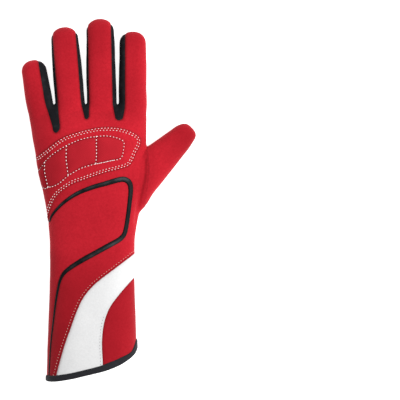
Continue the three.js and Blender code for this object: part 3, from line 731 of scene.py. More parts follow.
PAINTED_SHADE_ZONES = [
    # share of painted shade (below 0 a painted light), then the stretches over which it sets in: axis, start,
    # full
    (0.72, (Y, 128, 86)),
    (0.3, (Y, 300, 330)),
    (-0.1, (X, 20, 32), (Y, 60, 40)),
    (0.25, (Y, 70, 45), (X, 0, -10)),
    (0.25, *ROOTS, (X, 8, 20)),
    (0.15, *ROOTS, (X, -20, -32)),
    (0.5, (X, -18, -43), *HAND_ALONE),
    (0.22, (X, 32, 50), *HAND_ALONE),
]


def border(tris, labels):
    """For each pair of neighbouring panels, the edges that they share."""
    edge = np.sort(np.vstack([tris[:, [0, 1]], tris[:, [1, 2]], tris[:, [2, 0]]]), axis=1)
    owner = np.concatenate([labels] * 3)
    order = np.lexsort((edge[:, 1], edge[:, 0]))
    edge, owner = edge[order], owner[order]
    same = (edge[:-1] == edge[1:]).all(axis=1) & (owner[:-1] != owner[1:])
    found = {}
    for e, a, b in zip(edge[:-1][same], owner[:-1][same], owner[1:][same]):
        found.setdefault(frozenset((int(a), int(b))), []).append(e)
    return {pair: np.array(list(edges)) for pair, edges in found.items()}


def nearest(points, targets, reach):
    tree = KDTree(len(targets))
    for i, q in enumerate(targets):
        tree.insert(q, i)
    tree.balance()
    low, high = targets.min(axis=0) - reach, targets.max(axis=0) + reach
    out = np.full(len(points), 99.0)
    for i in np.flatnonzero(((points > low) & (points < high)).all(axis=1)):
        out[i] = tree.find(points[i])[2]
    return out


def rim(tris):
    """The directed edges that belong to one triangle only."""
    e = np.vstack([tris[:, [0, 1]], tris[:, [1, 2]], tris[:, [2, 0]]])
    key = np.sort(e, axis=1)
    _, index, count = np.unique(key, axis=0, return_index=True, return_counts=True)
    return e[index[count == 1]]


def thicken(points, tris, normals, outside, inside):
    """A closed wall from an open patch: outside and inside are each point's two offsets."""
    n = len(points)
    a, b = rim(tris).T
    walls = np.vstack([np.column_stack([a, a + n, b + n]), np.column_stack([a, b + n, b])])
    skin = np.vstack([points + normals * outside[:, None], points + normals * inside[:, None]])
    return skin, np.vstack([tris, tris[:, ::-1] + n, walls])


def zone(points, share, *stretches):
    """A share that sets in over each stretch: an axis, where it starts and where it is full."""
    for axis, start, end in stretches:
        share = share * ramp(points[:, axis], start, end)
    return share


def painted_shade_share(points):
    """How much painted shade the cloth's red gets: least over the knuckles, most at the cuff's left side."""
    x, y = points[:, 0], points[:, 1]
    hand = OFF_KNUCKLES * (1 - bell(y - KNUCKLES_Y, KNUCKLES_REACH))
    hand += sum(zone(points, *row) for row in PAINTED_SHADE_ZONES)
    cuff_left = zone(points, ramp(x + CUFF_SLANT * (y - WRIST_Y - 4), -5, -41), (Y, 145, 117))
    thumb_tip = zone(points, 1.1, (X, 60, 94))
    return np.maximum(np.maximum(cuff_left, thumb_tip), hand)


def store(mesh, name, values):
    mesh.attributes.new(name, "FLOAT", "POINT").data.foreach_set("value", values.astype(np.float32))


def mesh_piece(name, points, tris, seam=None):
    mesh = bpy.data.meshes.new(name)
    mesh.vertices.add(len(points))
    mesh.vertices.foreach_set("co", ((points - ORIGIN) * MM).ravel())
    mesh.loops.add(len(tris) * 3)
    mesh.loops.foreach_set("vertex_index", tris.ravel().astype(np.int32))
    mesh.polygons.add(len(tris))
    mesh.polygons.foreach_set("loop_start", np.arange(0, len(tris) * 3, 3, dtype=np.int32))
    mesh.polygons.foreach_set("use_smooth", np.ones(len(tris), dtype=bool))
    mesh.update(calc_edges=True)
    if seam is not None:
        store(mesh, "seam", seam)
        # The zones' share of painted shade is stored on every panel, a little less on the wrist panel.
        store(mesh, "painted_shade", painted_shade_share(points) * (0.8 if name.startswith("wrist") else 1.0))
    obj = bpy.data.objects.new(name, mesh)
    bpy.context.scene.collection.objects.link(obj)
    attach(obj, "root")
    return obj


CN = normals_of(CP, CT)
borders = border(CT, label)
made = {}
surface_points, surface_tris = [], []
for index, name in enumerate(LABELS[1:], start=1):
    points, tris = tidy(CP, CT[label == index])
    normals, _ = tidy(CN, CT[label == index])
    height = np.zeros(len(points))
    near = np.full(len(points), 99.0)
    for pair, edges in borders.items():
        if index not in pair or 0 in pair:
            continue
        other = LABELS[next(k for k in pair if k != index)]
        amount, width = SEAMS.get((name, other), USUAL_SEAM)
        targets = np.vstack([CP[edges[:, 0]], CP[edges].mean(axis=1)])
        distance = nearest(points, targets, 3 * width)
        height += amount * bell(distance, width)
        near = np.minimum(near, distance + (PALE_SEAM if (amount, width) == RAISED_SEAM else 0))
    height = np.where(points[:, 2] < 1.0, 0, height)
    # seam is a painted shade that darkens the cloth near its seams.
    seam = bell(near, 1.3)
    surface_tris.append(tris + sum(len(p) for p in surface_points))
    surface_points.append(points + normals * height[:, None])
    skin, walls = thicken(points, tris, normals, height, np.minimum(height, 0) - WALL)
    skin[:, 2] = np.maximum(skin[:, 2], 0)
    made[name] = mesh_piece(name + "_fabric", skin, walls, np.concatenate([seam, seam]))
    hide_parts(name)
    print(name, len(walls), "triangles")

# %% [markdown]
# ## Laying things on the glove
# The knuckle panel, the pad, the trim and the stitches lie on the panels. A ray from above finds the
# skin under a point of the plan, with the direction in which it faces. Past the edge of the glove the
# nearest place on its side is taken.

# %% The skin as a surface to lay things on
def surface(points, tris):
    return BVHTree.FromPolygons([tuple(p) for p in points], [tuple(int(i) for i in t) for t in tris])


back_surface = surface(np.vstack(surface_points), np.vstack(surface_tris))


def from_above(tree, place):
    """Where a ray from above meets the surface, and the way it faces there."""
    hit, normal, _, _ = tree.ray_cast(Vector((place[0], place[1], 90.0)), Vector((0, 0, -1)))
    return hit, normal


def onto(tree, place):
    hit, normal = from_above(tree, place)
    if hit is None or hit[2] < WIDEST_HEIGHT - 1:
        hit, normal, _, _ = tree.find_nearest(Vector((place[0], place[1], WIDEST_HEIGHT + 0.5)))
    normal = Vector(normal)
    if normal.z < 0:
        normal.negate()
    return np.array(hit), np.array(normal)


# %% [markdown]
# ## Knuckle panel
# A second layer of red fabric covers the knuckles, sewn down with two rows of white thread. It is the
# patch of skin inside the panel's outline, raised by its thickness and rounded at its edge. The thread
# presses it down a little, which the outline's distance gives as well.

# %% Knuckle panel
PANEL_THICKNESS = 1.0
PANEL_LIFT = 0.35
ROWS = (1.3, 3.2)
CREASE = [(-1.02, 0.51), (-0.95, 0.575), (-0.86, 0.622), (-0.75, 0.657)]
crease_line = smooth_line(seen(plan(CREASE)), 2.0)


def carve(fields, keep):
    """The patch of skin for which keep is true, with clean edges along the fields."""
    points, tris = P, T
    for field in fields:
        points, tris = cut(points, tris, field(points))
    centre = points[tris].mean(axis=1)
    part, patch = tidy(points, tris[keep(centre)])
    normals = normals_of(part, patch)
    return part, patch, normals


def panel_field(points):
    return outline_distance(points, panel_outline)


def cells_field(points):
    return outline_distance(points, cells_outline)


def above_side(points):
    return SEAM_HEIGHT + 1.2 - points[:, 2]


def carve_inside(field):
    """The patch of skin inside a field's outline, down to a little above the side seam."""
    return carve([field, above_side], lambda c: (field(c) < 0) & (above_side(c) < 0))


part, patch, normals = carve_inside(panel_field)
depth = -np.maximum(panel_field(part), above_side(part))
rows_press = sum(bell(depth - row, 0.7) for row in ROWS)
off_cells = cells_field(part)
cells_press = bell(off_cells, 1.0)
top = PANEL_LIFT + PANEL_THICKNESS * (0.25 + 0.75 * rounded(depth, 1.1))
top -= 0.2 * rows_press + 0.3 * cells_press
top += 0.3 * ramp(depth, 4, 7) * ramp(off_cells, 1, 3)
crease = bell(line_distance(part, crease_line), 1.7)
top = 0.15 + (top - 0.15 - 0.35 * crease) * ramp(normals[:, 2], 0, 0.75)
skin, walls = thicken(part, patch, normals, top, np.full(len(part), 0.05))
# Painted shade along the panel's edge, its stitch rows, the cells' edge and the crease.
seam = np.clip(bell(depth, 0.8) + 0.4 * rows_press + 0.35 * cells_press + 0.6 * crease, 0, 1)
knuckle_panel = mesh_piece("knuckle_panel_fabric", skin, walls, np.concatenate([seam, seam]))
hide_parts("knuckle_panel")
panel_surface = surface(part + normals * top[:, None], patch)
print("knuckle panel", len(walls), "triangles")

# %% [markdown]
# ## Quilted cells
# The pad is foam under fabric, sewn through along its outline and two dividing lines. The shape of
# such a quilt is what pressure does to cloth that is pinned at its stitches, so a short cloth
# simulation makes it: pressure, no gravity, twenty frames. It runs ten times larger than life,
# because cloth of a few centimetres would hardly move, and what each point may rise is capped.

# %% Puff the cells
DIVIDERS = [
    [(-0.422, 0.712), (-0.45, 0.65), (-0.463, 0.607), (-0.469, 0.495)],
    [(0.121, 0.772), (0.107, 0.7), (0.092, 0.631), (0.067, 0.576)],
    [(-0.873, 0.59), (-0.898, 0.542), (-0.907, 0.501), (-0.905, 0.46), (-0.901, 0.41)],
]
divider_lines = [smooth_line(seen(plan(rows)), 1.0) for rows in DIVIDERS]
CELL_HEIGHT = 1.9
LARGER, FRAMES = 10.0, 20
FOAM_CLOTH = {
    "vertex_group_mass": "pins",
    "quality": 5,
    "mass": 0.2,
    "tension_stiffness": 12,
    "compression_stiffness": 12,
    "shear_stiffness": 4,
    "bending_stiffness": 0.6,
    "use_pressure": True,
    "uniform_pressure_force": 4,
}


def sewn_distance(points):
    return np.minimum.reduce([-cells_field(points)] + [line_distance(points, line) for line in divider_lines])


def simulated_rise(points, tris, normals, pinned):
    """How far pressure lifts each point of a patch off its pinned stitches, in millimetres."""
    slab, walls = thicken(points, tris, normals, np.full(len(points), 0.2), np.full(len(points), -0.8))
    cloth_obj = new_object("quilt", slab * MM * LARGER, walls)
    pins = cloth_obj.vertex_groups.new(name="pins")
    held = np.concatenate([np.flatnonzero(pinned), np.arange(len(points), 2 * len(points))])
    pins.add([int(i) for i in held], 1.0, "REPLACE")
    cloth = cloth_obj.modifiers.new("cloth", "CLOTH")
    for setting, amount in FOAM_CLOTH.items():
        setattr(cloth.settings, setting, amount)
    cloth.settings.effector_weights.gravity = 0
    cloth.collision_settings.use_collision = False
    scene = bpy.context.scene
    for number in range(1, FRAMES + 1):
        scene.frame_set(number)
        bpy.context.view_layer.update()
    shaped, _ = arrays(evaluated_mesh(cloth_obj))
    scene.frame_set(1)
    bpy.data.objects.remove(cloth_obj)
    return ((shaped[: len(points)] / (MM * LARGER) - slab[: len(points)]) * normals).sum(axis=1)


part, patch, normals = carve_inside(cells_field)
sewn = np.minimum(sewn_distance(part), -above_side(part))
full = 1 - np.exp(-((np.maximum(sewn, 0) / 3.4) ** 1.3))
rise = CELL_HEIGHT * full
lifted = np.nan_to_num(simulated_rise(part, patch, normals, sewn < 0.7))
print("simulated rise up to", lifted.max().round(2), "mm")
scale = CELL_HEIGHT / max(np.percentile(lifted, 97), 1e-3)
rise = 0.45 * rise + 0.55 * np.clip(lifted * scale, 0, CELL_HEIGHT * 1.15)
base = PANEL_LIFT + PANEL_THICKNESS + 0.05
top = 0.45 + (base - 0.1 + rise - 0.5 * bell(sewn, 0.75)) * ramp(normals[:, 2], 0, 0.75)
skin, walls = thicken(part, patch, normals, top, np.full(len(part), 0.25))
# Painted shade along the stitched lines of the quilt.
seam = bell(sewn, 0.8)
knuckle_pad = mesh_piece("knuckle_pad_fabric", skin, walls, np.concatenate([seam, seam]))
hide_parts("knuckle_pad")
pad_surface = surface(part + normals * top[:, None], patch)
print("pad", len(walls), "triangles")

# %% [markdown]
# ## Trim
# The black trim is a raised strip that narrows towards the little-finger side and down the cuff. Its
# crowned section is set square to the line and laid point by point on the panels.

# %% Trim
TRIM_WIDTH, TRIM_HEIGHT = 4.3, 1.0
GLINT_END, GLINT_FADE = 95, 20


def trim_strip():
    at = np.linspace(0, 1, len(trim_line))
    nodes = seen(plan(TRIM_LINE))
    length = np.concatenate([[0], np.cumsum(np.linalg.norm(np.diff(nodes, axis=0), axis=1))])
    width = TRIM_WIDTH * np.interp(at, length / length[-1], [row[2] for row in TRIM_LINE])
    ahead = np.gradient(trim_line, axis=0)
    ahead /= np.linalg.norm(ahead, axis=1)[:, None]
    out = np.column_stack([ahead[:, 1], -ahead[:, 0]])
    across = np.linspace(-1, 1, 11)
    crown = (1 - np.abs(across) ** 4) ** 0.5
    # The glint is a painted highlight near the crown of the legs that run across the plan, from the trim's
    # start to GLINT_END past it.
    bright_end = plan(TRIM_LINE[:1])[0, 0] + GLINT_END
    slope = ramp(np.abs(ahead[:, 0]), 0.6, 0.85)
    slope *= ramp(trim_line[:, 0], bright_end, bright_end - GLINT_FADE)
    verts, faces, glint = [], [], []
    for place, side, w, shine in zip(trim_line, out, width, slope):
        low, high = [], []
        thick = TRIM_HEIGHT * (0.35 + 0.65 * min(1.0, w / TRIM_WIDTH))
        for a, c in zip(across, crown):
            point, normal = onto(back_surface, place + side * a * w / 2)
            low.append(point - normal * 0.3)
            high.append(point + normal * (0.05 + thick * c * min(1.0, max(0.2, normal[2] / 0.7))))
        verts += low + high[::-1]
        glint += [0.0] * len(across) + list(shine * bell(across[::-1] + 0.25, 0.5))
    n = 2 * len(across)
    rows = len(trim_line)
    for i in range(rows - 1):
        for k in range(n):
            a, b = i * n + k, i * n + (k + 1) % n
            faces += [(a, a + n, b + n), (a, b + n, b)]
    for k in range(1, n - 1):
        faces += [(0, k, k + 1), ((rows - 1) * n, (rows - 1) * n + k + 1, (rows - 1) * n + k)]
    edges = np.tile(np.concatenate([across, across[::-1]]), rows)
    return np.array(verts), np.array(faces), edges, np.array(glint)


points, tris, edge_share, glint = trim_strip()
a, b, c = points[tris[:, 0]], points[tris[:, 1]], points[tris[:, 2]]
if (a * np.cross(b, c)).sum() < 0:
    tris = tris[:, ::-1]
trim = mesh_piece("trim_strip", points, tris, np.abs(edge_share) ** 3)
store(trim.data, "glint", glint)
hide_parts("trim")
print("trim", len(tris), "triangles")

# %% [markdown]
# ## Hem binding
# Tape folded round the raw edge of the mouth keeps it from fraying. It is the band of skin next to
# the edge, thickened to both sides, and rounded where it folds over.

# %% Hem binding
TAPE_THICKNESS = 1.15
TAPE_SHARES = [
    # x in mm, share of the tape's width
    (0.0, 1.0), (18.0, 1.14), (27.0, 1.08), (36.0, 0.8), (43.0, 0.48),
]


def binding_field(points):
    return hem_field(points) + BINDING_WIDTH * np.interp(points[:, 0], *np.transpose(TAPE_SHARES))


def in_binding(points):
    return (hem_field(points) < 0) & (binding_field(points) > 0)


part, patch, normals = carve([hem_field, binding_field], in_binding)
fold = rounded(-hem_field(part), 1.6)
to_edge = binding_field(part)
edge = rounded(to_edge, 0.7)
body = TAPE_THICKNESS * (0.72 * fold + 0.28) * edge - 0.16 * bell(to_edge - 1.2, 0.5)
outside = np.where(fold < 1, body - 0.75 * (1 - fold), body)
inside = -WALL - body + 0.75 * (1 - fold)
skin, walls = thicken(part, patch, normals, outside, inside)
skin[:, 2] = np.maximum(skin[:, 2], 0)
binding = mesh_piece("hem_binding_tape", skin, walls, np.concatenate([1 - edge, 1 - edge]))
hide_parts("hem_binding")
print("binding", len(walls), "triangles")

# %% [markdown]
# ## Stitches
# A row of stitches is one small rounded thread repeated along a path, which suits Geometry Nodes: the
# path is resampled at the stitch pitch, a thread is set on each point and turned to run along it, and
# the instances are made real so that the model can leave this file as plain meshes.

# %% A tree that sews
def add_node(tree, kind, settings=None, inputs=None):
    """A node with its settings made and each input linked, or set where it is a plain value."""
    node = tree.nodes.new(kind)
    for key, item in (settings or {}).items():
        setattr(node, key, item)
    for key, item in (inputs or {}).items():
        if isinstance(item, bpy.types.NodeSocket):
            tree.links.new(item, node.inputs[key])
        else:
            node.inputs[key].default_value = item
    return node


def sewing_tree():
    tree = bpy.data.node_groups.new("sewing", "GeometryNodeTree")
    kinds = {"Geometry": "Geometry", "Material": "Material"}
    kinds |= dict.fromkeys(("Pitch", "Length", "Thread"), "Float")
    for name, kind in kinds.items():
        tree.interface.new_socket(name, in_out="INPUT", socket_type="NodeSocket" + kind)
    tree.interface.new_socket("Geometry", in_out="OUTPUT", socket_type="NodeSocketGeometry")

    def node(kind, inputs=None, **settings):
        return add_node(tree, kind, settings, inputs).outputs

    given = node("NodeGroupInput")
    path = node("GeometryNodeMeshToCurve", {"Mesh": given["Geometry"]})
    spaced = {"Curve": path["Curve"], "Length": given["Pitch"]}
    spots = node("GeometryNodeResampleCurve", spaced, mode="LENGTH")
    tangent = node("GeometryNodeInputTangent")
    turn = node("FunctionNodeAlignRotationToVector", {"Vector": tangent["Tangent"]}, axis="X")
    ball = node("GeometryNodeMeshUVSphere", {"Segments": 8, "Rings": 6, "Radius": 0.5})
    uneven = node("FunctionNodeRandomValue", {2: 0.9, 3: 1.08, "Seed": 5}, data_type="FLOAT")
    longer = node("ShaderNodeMath", {0: given["Length"], 1: uneven[1]}, operation="MULTIPLY")
    size = node("ShaderNodeCombineXYZ", {"X": longer[0], "Y": given["Thread"], "Z": given["Thread"]})
    thread = {"Instance": ball["Mesh"], "Rotation": turn["Rotation"], "Scale": size["Vector"]}
    placed = node("GeometryNodeInstanceOnPoints", {"Points": spots["Curve"], **thread})
    real = node("GeometryNodeRealizeInstances", {"Geometry": placed["Instances"]})
    smooth = node("GeometryNodeSetShadeSmooth", {"Geometry": real["Geometry"]})
    finish = {"Geometry": smooth["Geometry"], "Material": given["Material"]}
    paint = node("GeometryNodeSetMaterial", finish)
    node("NodeGroupOutput", {"Geometry": paint["Geometry"]})
    return tree


SEWING = sewing_tree()


def sew(name, paths, material, pitch, length, thread):
    """Stitches along paths of points, in millimetres, as one plain mesh."""
    mesh = bpy.data.meshes.new(name + "_path")
    verts, edges = [], []
    for path in paths:
        start = len(verts)
        verts += [tuple((p - ORIGIN) * MM) for p in path]
        edges += [(start + i, start + i + 1) for i in range(len(path) - 1)]
    mesh.from_pydata(verts, edges, [])
    obj = bpy.data.objects.new(name, mesh)
    bpy.context.scene.collection.objects.link(obj)
    modifier = obj.modifiers.new("sewing", "NODES")
    modifier.node_group = SEWING
    given = {"Pitch": pitch * MM, "Length": length * MM, "Thread": thread * MM, "Material": material}
    for item in SEWING.interface.items_tree:
        if item.in_out == "INPUT" and item.name in given:
            modifier[item.identifier] = given[item.name]
    result = evaluated_mesh(obj)
    obj.modifiers.clear()
    obj.data = result
    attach(obj, "root")
    print(name, len(result.polygons), "faces")


def visible_runs(tree, line, height, lowest=WIDEST_HEIGHT + 1.0):
    """The stretches of a plan line that lie over the glove, laid on a surface."""
    runs, run = [], []
    for place in line:
        hit, normal = from_above(tree, place)
        if hit is None or hit[2] < lowest:
            if len(run) > 2:
                runs.append(np.array(run))
            run = []
            continue
        run.append(np.array(hit + normal * height))
    if len(run) > 2:
        runs.append(np.array(run))
    return runs


# %% [markdown]
# ## Fabrics
# Shader maths reads best as plain expressions, so a small class lets node outputs be added and
# multiplied. `Cloth` makes a material with one method for every other node.

# %% Shader helpers
class Value:
    """A node's output that can be used in arithmetic."""

    def __init__(self, tree, socket):
        self.tree, self.socket = tree, socket

    def math(self, operation, other):
        inputs = {0: self.socket, 1: getattr(other, "socket", other)}
        node = add_node(self.tree, "ShaderNodeMath", {"operation": operation}, inputs)
        return Value(self.tree, node.outputs[0])

    def __add__(self, other):
        return self.math("ADD", other)

    def __mul__(self, other):
        return self.math("MULTIPLY", other)

    def __sub__(self, other):
        return self.math("SUBTRACT", other)

    __radd__, __rmul__ = __add__, __mul__


class Cloth:
    """A material with a Principled shader, and a short way to add nodes to it."""

    def __init__(self, name, **constants):
        self.material = bpy.data.materials.new(name)
        self.material.use_nodes = True
        self.tree = self.material.node_tree
        self.shader = self.tree.nodes["Principled BSDF"]
        for socket, constant in constants.items():
            self.shader.inputs[socket.replace("_", " ")].default_value = constant
        self.place = self.node("ShaderNodeTexCoord", out="Object")

    def node(self, kind, settings=None, inputs=None, out=0):
        sockets = {key: getattr(item, "socket", item) for key, item in (inputs or {}).items()}
        return Value(self.tree, add_node(self.tree, kind, settings, sockets).outputs[out])

    def noise(self, scale, detail=2.0, rough=0.5, warp=0.0):
        inputs = {"Vector": self.place, "Scale": scale, "Distortion": warp}
        inputs |= {"Detail": detail, "Roughness": rough}
        return self.node("ShaderNodeTexNoise", inputs=inputs, out="Fac")

    def waves(self, scale, turn, warp):
        """Parallel ribs, turned about the vertical by an angle in degrees."""
        turned = {"Vector": self.place, "Rotation": (0, 0, math.radians(turn))}
        turned = self.node("ShaderNodeMapping", inputs=turned)
        inputs = {"Vector": turned, "Scale": scale, "Distortion": warp, "Detail": 1.0, "Detail Scale": 2.0}
        return self.node("ShaderNodeTexWave", inputs=inputs, out="Fac")

    def attribute(self, name):
        return self.node("ShaderNodeAttribute", {"attribute_name": name}, out="Fac")

    def blend(self, share, first, second):
        settings = {"data_type": "RGBA", "clamp_factor": True}
        return self.node("ShaderNodeMix", settings, {0: share, 6: first, 7: second}, out=2)

    def bump(self, height, strength, distance):
        inputs = {"Height": height, "Strength": strength, "Distance": distance * MM}
        return self.node("ShaderNodeBump", inputs=inputs)

    def feed(self, **sockets):
        for name, item in sockets.items():
            self.tree.links.new(item.socket, self.shader.inputs[name.replace("_", " ")])
        return self.material


def color(r, g, b):
    return (r, g, b, 1.0)


# %% [markdown]
# The red cloth is a brushed knit: dull, with a faint nap that catches light at grazing angles, and
# small uneven specks. A painted shade darkens it a little in the seams and creases, from the `seam`
# values stored on the meshes, and in the zones where the lamp's light falls off.

# %% Knit and suede
def brushed(name, dark, light, painted_shade, grain, nap=0.1, seam_shade_share=0.75, painted_shade_weight=0.5):
    m = Cloth(name, Roughness=0.88, Sheen_Weight=nap, Sheen_Roughness=0.45, IOR=1.35, Specular_IOR_Level=0.12)
    patches = m.noise(38.0, 3.0, 0.55)
    specks = m.noise(grain, 3.0, 0.65)
    fibres = m.noise(grain * 0.35, 2.0, 0.5, 0.6)
    tone = patches * 0.65 + specks * 0.65 + fibres * 1.05 - 0.685
    cloth = m.blend(tone, dark, light)
    # Painted shade: the zones darken the cloth where the lamp's light falls off.
    cloth = m.blend(m.attribute("painted_shade") * painted_shade_weight, cloth, painted_shade)
    # Painted shade in the seams and creases.
    cloth = m.blend(m.attribute("seam") * seam_shade_share, cloth, painted_shade)
    return m.feed(Base_Color=cloth, Normal=m.bump(specks * 0.6 + fibres * 0.8, 0.3, 0.25))


PAINTED_SHADE_RED = color(0.2, 0.004, 0.008)
red = brushed("red brushed knit", color(0.45, 0.0095, 0.0195), color(0.67, 0.02, 0.036), PAINTED_SHADE_RED, 1500.0)
suede_tones = color(0.28, 0.01, 0.018), color(0.4, 0.02, 0.03), color(0.15, 0.005, 0.009)
palm_red = brushed("palm suede", *suede_tones, grain=900.0, nap=0.35)
white_tones = color(0.7, 0.7, 0.705), color(0.83, 0.83, 0.83), color(0.5, 0.5, 0.51)
white = brushed("white knit", *white_tones, grain=1700.0, seam_shade_share=0.28, painted_shade_weight=0.0)
print("brushed cloths made")

# %% [markdown]
# The quilted cells are woven, and a fine diagonal shows on them. The finger sides are a black stretch
# knit with ribs along the fingers, the trim is smooth and a little shiny with a painted highlight in
# ribbed patches, and the tape is ribbed across.

# %% Woven, ribbed and smooth blacks
def woven_red():
    finish = {"Roughness": 0.85, "Sheen_Weight": 0.08, "Sheen_Roughness": 0.4}
    m = Cloth("red twill", IOR=1.35, Specular_IOR_Level=0.12, **finish)
    twill = m.waves(330.0, 38, 0.6)
    cross = m.waves(210.0, -50, 0.8)
    tone = m.noise(60.0, 3.0) * 0.45 + twill * 0.35 + cross * 0.12 + m.noise(1500.0) * 0.2
    cloth = m.blend(tone, color(0.33, 0.009, 0.017), color(0.6, 0.02, 0.034))
    # Painted shade from the zones, as on the knit.
    cloth = m.blend(m.attribute("painted_shade") * 0.5, cloth, PAINTED_SHADE_RED)
    # Painted shade along the quilt's stitched lines.
    cloth = m.blend(m.attribute("seam") * 0.8, cloth, color(0.16, 0.005, 0.01))
    return m.feed(Base_Color=cloth, Normal=m.bump(twill * 0.8 + cross * 0.3, 0.35, 0.2))


def stretch_black():
    finish = {"Roughness": 0.8, "Sheen_Weight": 0.03, "Sheen_Roughness": 0.4}
    m = Cloth("black stretch knit", IOR=1.35, Specular_IOR_Level=0.2, **finish)
    ribs = m.waves(420.0, 0, 0.4)
    tone = m.noise(70.0, 3.0) * 0.5 + ribs * 0.5
    cloth = m.blend(tone, color(0.004, 0.0043, 0.0054), color(0.014, 0.0145, 0.0175))
    cloth = m.blend((m.noise(140.0, 3.0, 0.6) - 0.5) * 4.0, cloth, color(0.02, 0.021, 0.024))
    return m.feed(Base_Color=cloth, Normal=m.bump(ribs + m.noise(1800.0) * 0.5, 0.35, 0.25))


def trim_black():
    m = Cloth("black trim", IOR=1.45, Specular_IOR_Level=0.1)
    tone_and_highlight_patches = m.noise(55.0, 4.0, 0.6)
    fine = m.noise(900.0, 3.0, 0.6)
    ribs = m.waves(260.0, 60, 0.5)
    cloth = m.blend(tone_and_highlight_patches * 0.7 + fine * 0.3, color(0.0024, 0.0027, 0.0033), color(0.0105, 0.011, 0.0125))
    # Painted highlight: a lighter grey in ribbed patches where the trim stores glint.
    patch = (tone_and_highlight_patches - 0.5) * 5.0 + 0.6
    cloth = m.blend(m.attribute("glint") * (patch * (ribs * 0.6 + 0.5)), cloth, color(0.055, 0.063, 0.067))
    return m.feed(Base_Color=cloth, Roughness=0.36 + fine * 0.22, Normal=m.bump(fine, 0.25, 0.15))


def tape_black():
    m = Cloth("black tape", Roughness=0.75, Sheen_Weight=0.03, IOR=1.35, Specular_IOR_Level=0.25)
    ribs = m.waves(300.0, 12, 0.15)
    cloth = m.blend(ribs * 0.6 + m.noise(60.0) * 0.4, color(0.009, 0.0095, 0.012), color(0.026, 0.027, 0.032))
    return m.feed(Base_Color=cloth, Normal=m.bump(ribs, 0.5, 0.3))


def thread(name, light, glow=0.0):
    # glow is an emission: painted light, as the thread is no lamp.
    m = Cloth(name, Roughness=0.6, IOR=1.45, Emission_Color=light, Emission_Strength=glow)
    dark = tuple(c * 0.82 for c in light[:3]) + (1.0,)
    return m.feed(Base_Color=m.blend(m.noise(2500.0), dark, light), Normal=m.bump(m.noise(3500.0), 0.3, 0.1))


pad_red, stretch, trim_mat, tape = woven_red(), stretch_black(), trim_black(), tape_black()
panel_thread = thread("white thread", color(1.0, 0.88, 0.87), 0.2)
pad_thread = thread("thick white thread", color(1.0, 0.9, 0.89), 0.26)
tan_thread = thread("tan thread", color(0.78, 0.46, 0.4))
grey_thread = thread("grey thread", color(0.36, 0.36, 0.37))

made |= {"knuckle_panel": knuckle_panel, "knuckle_pad": knuckle_pad, "trim": trim, "hem_binding": binding}
DRESS = [
    # material, slot, pieces
    (red, "red_fabric", ("back_panel", "wrist_panel", "corner_panel", "thumb", "knuckle_panel")),
    (white, "white_fabric", ("stripe_panel",)),
    (palm_red, "palm_suede", ("palm_panel",)),
    (stretch, "black_stretch", [gusset[0] for gusset in GUSSETS]),
    (pad_red, "pad_fabric", ("knuckle_pad",)),
    (trim_mat, "trim_black", ("trim",)),
    (tape, "tape_black", ("hem_binding",)),
]
for material, slot_name, names in DRESS:
    for name in names:
        made[name].data.materials.append(material)
print("dressed", len(made), "pieces")

# %% [markdown]
# ## Sewing rows
# The knuckle panel carries two rows, the cells one row round them and one on each dividing line. One
# stretch under the cells is sewn closer. The folded edge of the red panel over the white stripe has a
# finer row, and so has the stripe itself.

# %% Sew
panel_rows = []
for inset in ROWS:
    panel_rows += visible_runs(panel_surface, sideways(panel_outline, -inset), 0.12)
round_rows = visible_runs(panel_surface, sideways(cells_outline, 0.25), 0.15)
divider_rows = []
for line in divider_lines:
    divider_rows += visible_runs(pad_surface, line, 0.14)
tight_rows = [run[(run[:, 0] > 4) & (run[:, 0] < 22) & (run[:, 1] < 213)] for run in round_rows]
tight_rows = [run for run in tight_rows if len(run) > 2]
print("rows on the pad:", len(round_rows), len(divider_rows), [len(run) for run in tight_rows])
PITCH, FINE_PITCH = 3.05, 2.85
sew("knuckle_panel_stitches", panel_rows, panel_thread, PITCH, 1.35, 0.62)
sew("knuckle_pad_stitches", round_rows, panel_thread, PITCH, 1.4, 0.74)
sew("cell_divider_stitches", divider_rows, pad_thread, PITCH, 1.45, 0.88)
sew("close_stitches", [run + [0, 0, 0.12] for run in tight_rows], pad_thread, 1.9, 1.5, 0.6)
edge_row = sideways(stripe_upper, -2.3)
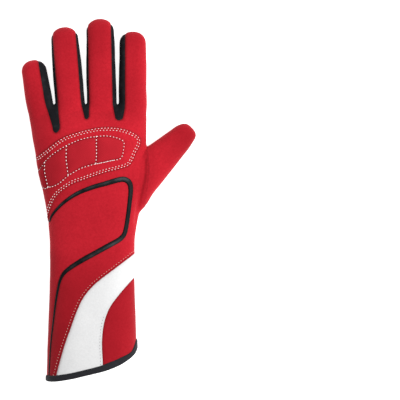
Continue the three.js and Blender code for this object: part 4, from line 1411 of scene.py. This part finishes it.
sew("stripe_edge_stitches", visible_runs(back_surface, edge_row[8:], 0.08), tan_thread, FINE_PITCH, 1.2, 0.58)
inner_row = sideways(stripe_lower, -1.9)
inner_row = inner_row[(inner_row[:, 1] < 62) & (inner_row[:, 1] > 14)]
sew("stripe_stitches", visible_runs(back_surface, inner_row, 0.06), grey_thread, FINE_PITCH, 1.2, 0.56)

# %% [markdown]
# ## Floor, light and camera
# The glove lies on a pale floor under a bright even sky of light, with a large soft lamp from the
# upper right, so that the little-finger side falls a little darker. The camera looks straight down
# from far away through a long lens.

# %% Stage
bpy.context.scene.view_settings.view_transform = "Standard"
bpy.ops.mesh.primitive_plane_add(size=8.0, location=(0, 0, -0.0002))
floor = bpy.context.object
floor.name = "floor"
WHITE = color(1.0, 1.0, 1.0)
paint = Cloth("pale lit floor", Roughness=0.9, Emission_Color=WHITE, Emission_Strength=0.85)
pale = paint.blend(paint.noise(3.0), color(0.9, 0.9, 0.9), color(0.93, 0.93, 0.93))
floor.data.materials.append(paint.feed(Base_Color=pale))

world = bpy.data.worlds.new("soft light")
bpy.context.scene.world = world
world.use_nodes = True
sky = world.node_tree.nodes["Background"].inputs
sky["Color"].default_value, sky["Strength"].default_value = WHITE, 0.48


def lamp(name, place, target, size, power):
    data = bpy.data.lights.new(name, "AREA")
    data.shape, data.size, data.energy = "DISK", size, power
    obj = bpy.data.objects.new(name, data)
    obj.location = place
    obj.rotation_euler = (Vector(target) - Vector(place)).to_track_quat("-Z", "Y").to_euler()
    bpy.context.scene.collection.objects.link(obj)


lamp("key", (1.5, 0.3, 1.85), (0, 0, 0), 1.0, 47.5)
LENS, SENSOR, FRAME_WIDTH = 200, 36, 0.38
camera_data = bpy.data.cameras.new("camera")
camera_data.lens, camera_data.sensor_width = LENS, SENSOR
camera = bpy.data.objects.new("camera", camera_data)
camera.location = (0.0869, -0.0001, FRAME_WIDTH * LENS / SENSOR)
bpy.context.scene.collection.objects.link(camera)
bpy.context.scene.camera = camera
print("the picture is", FRAME_WIDTH, "m wide")
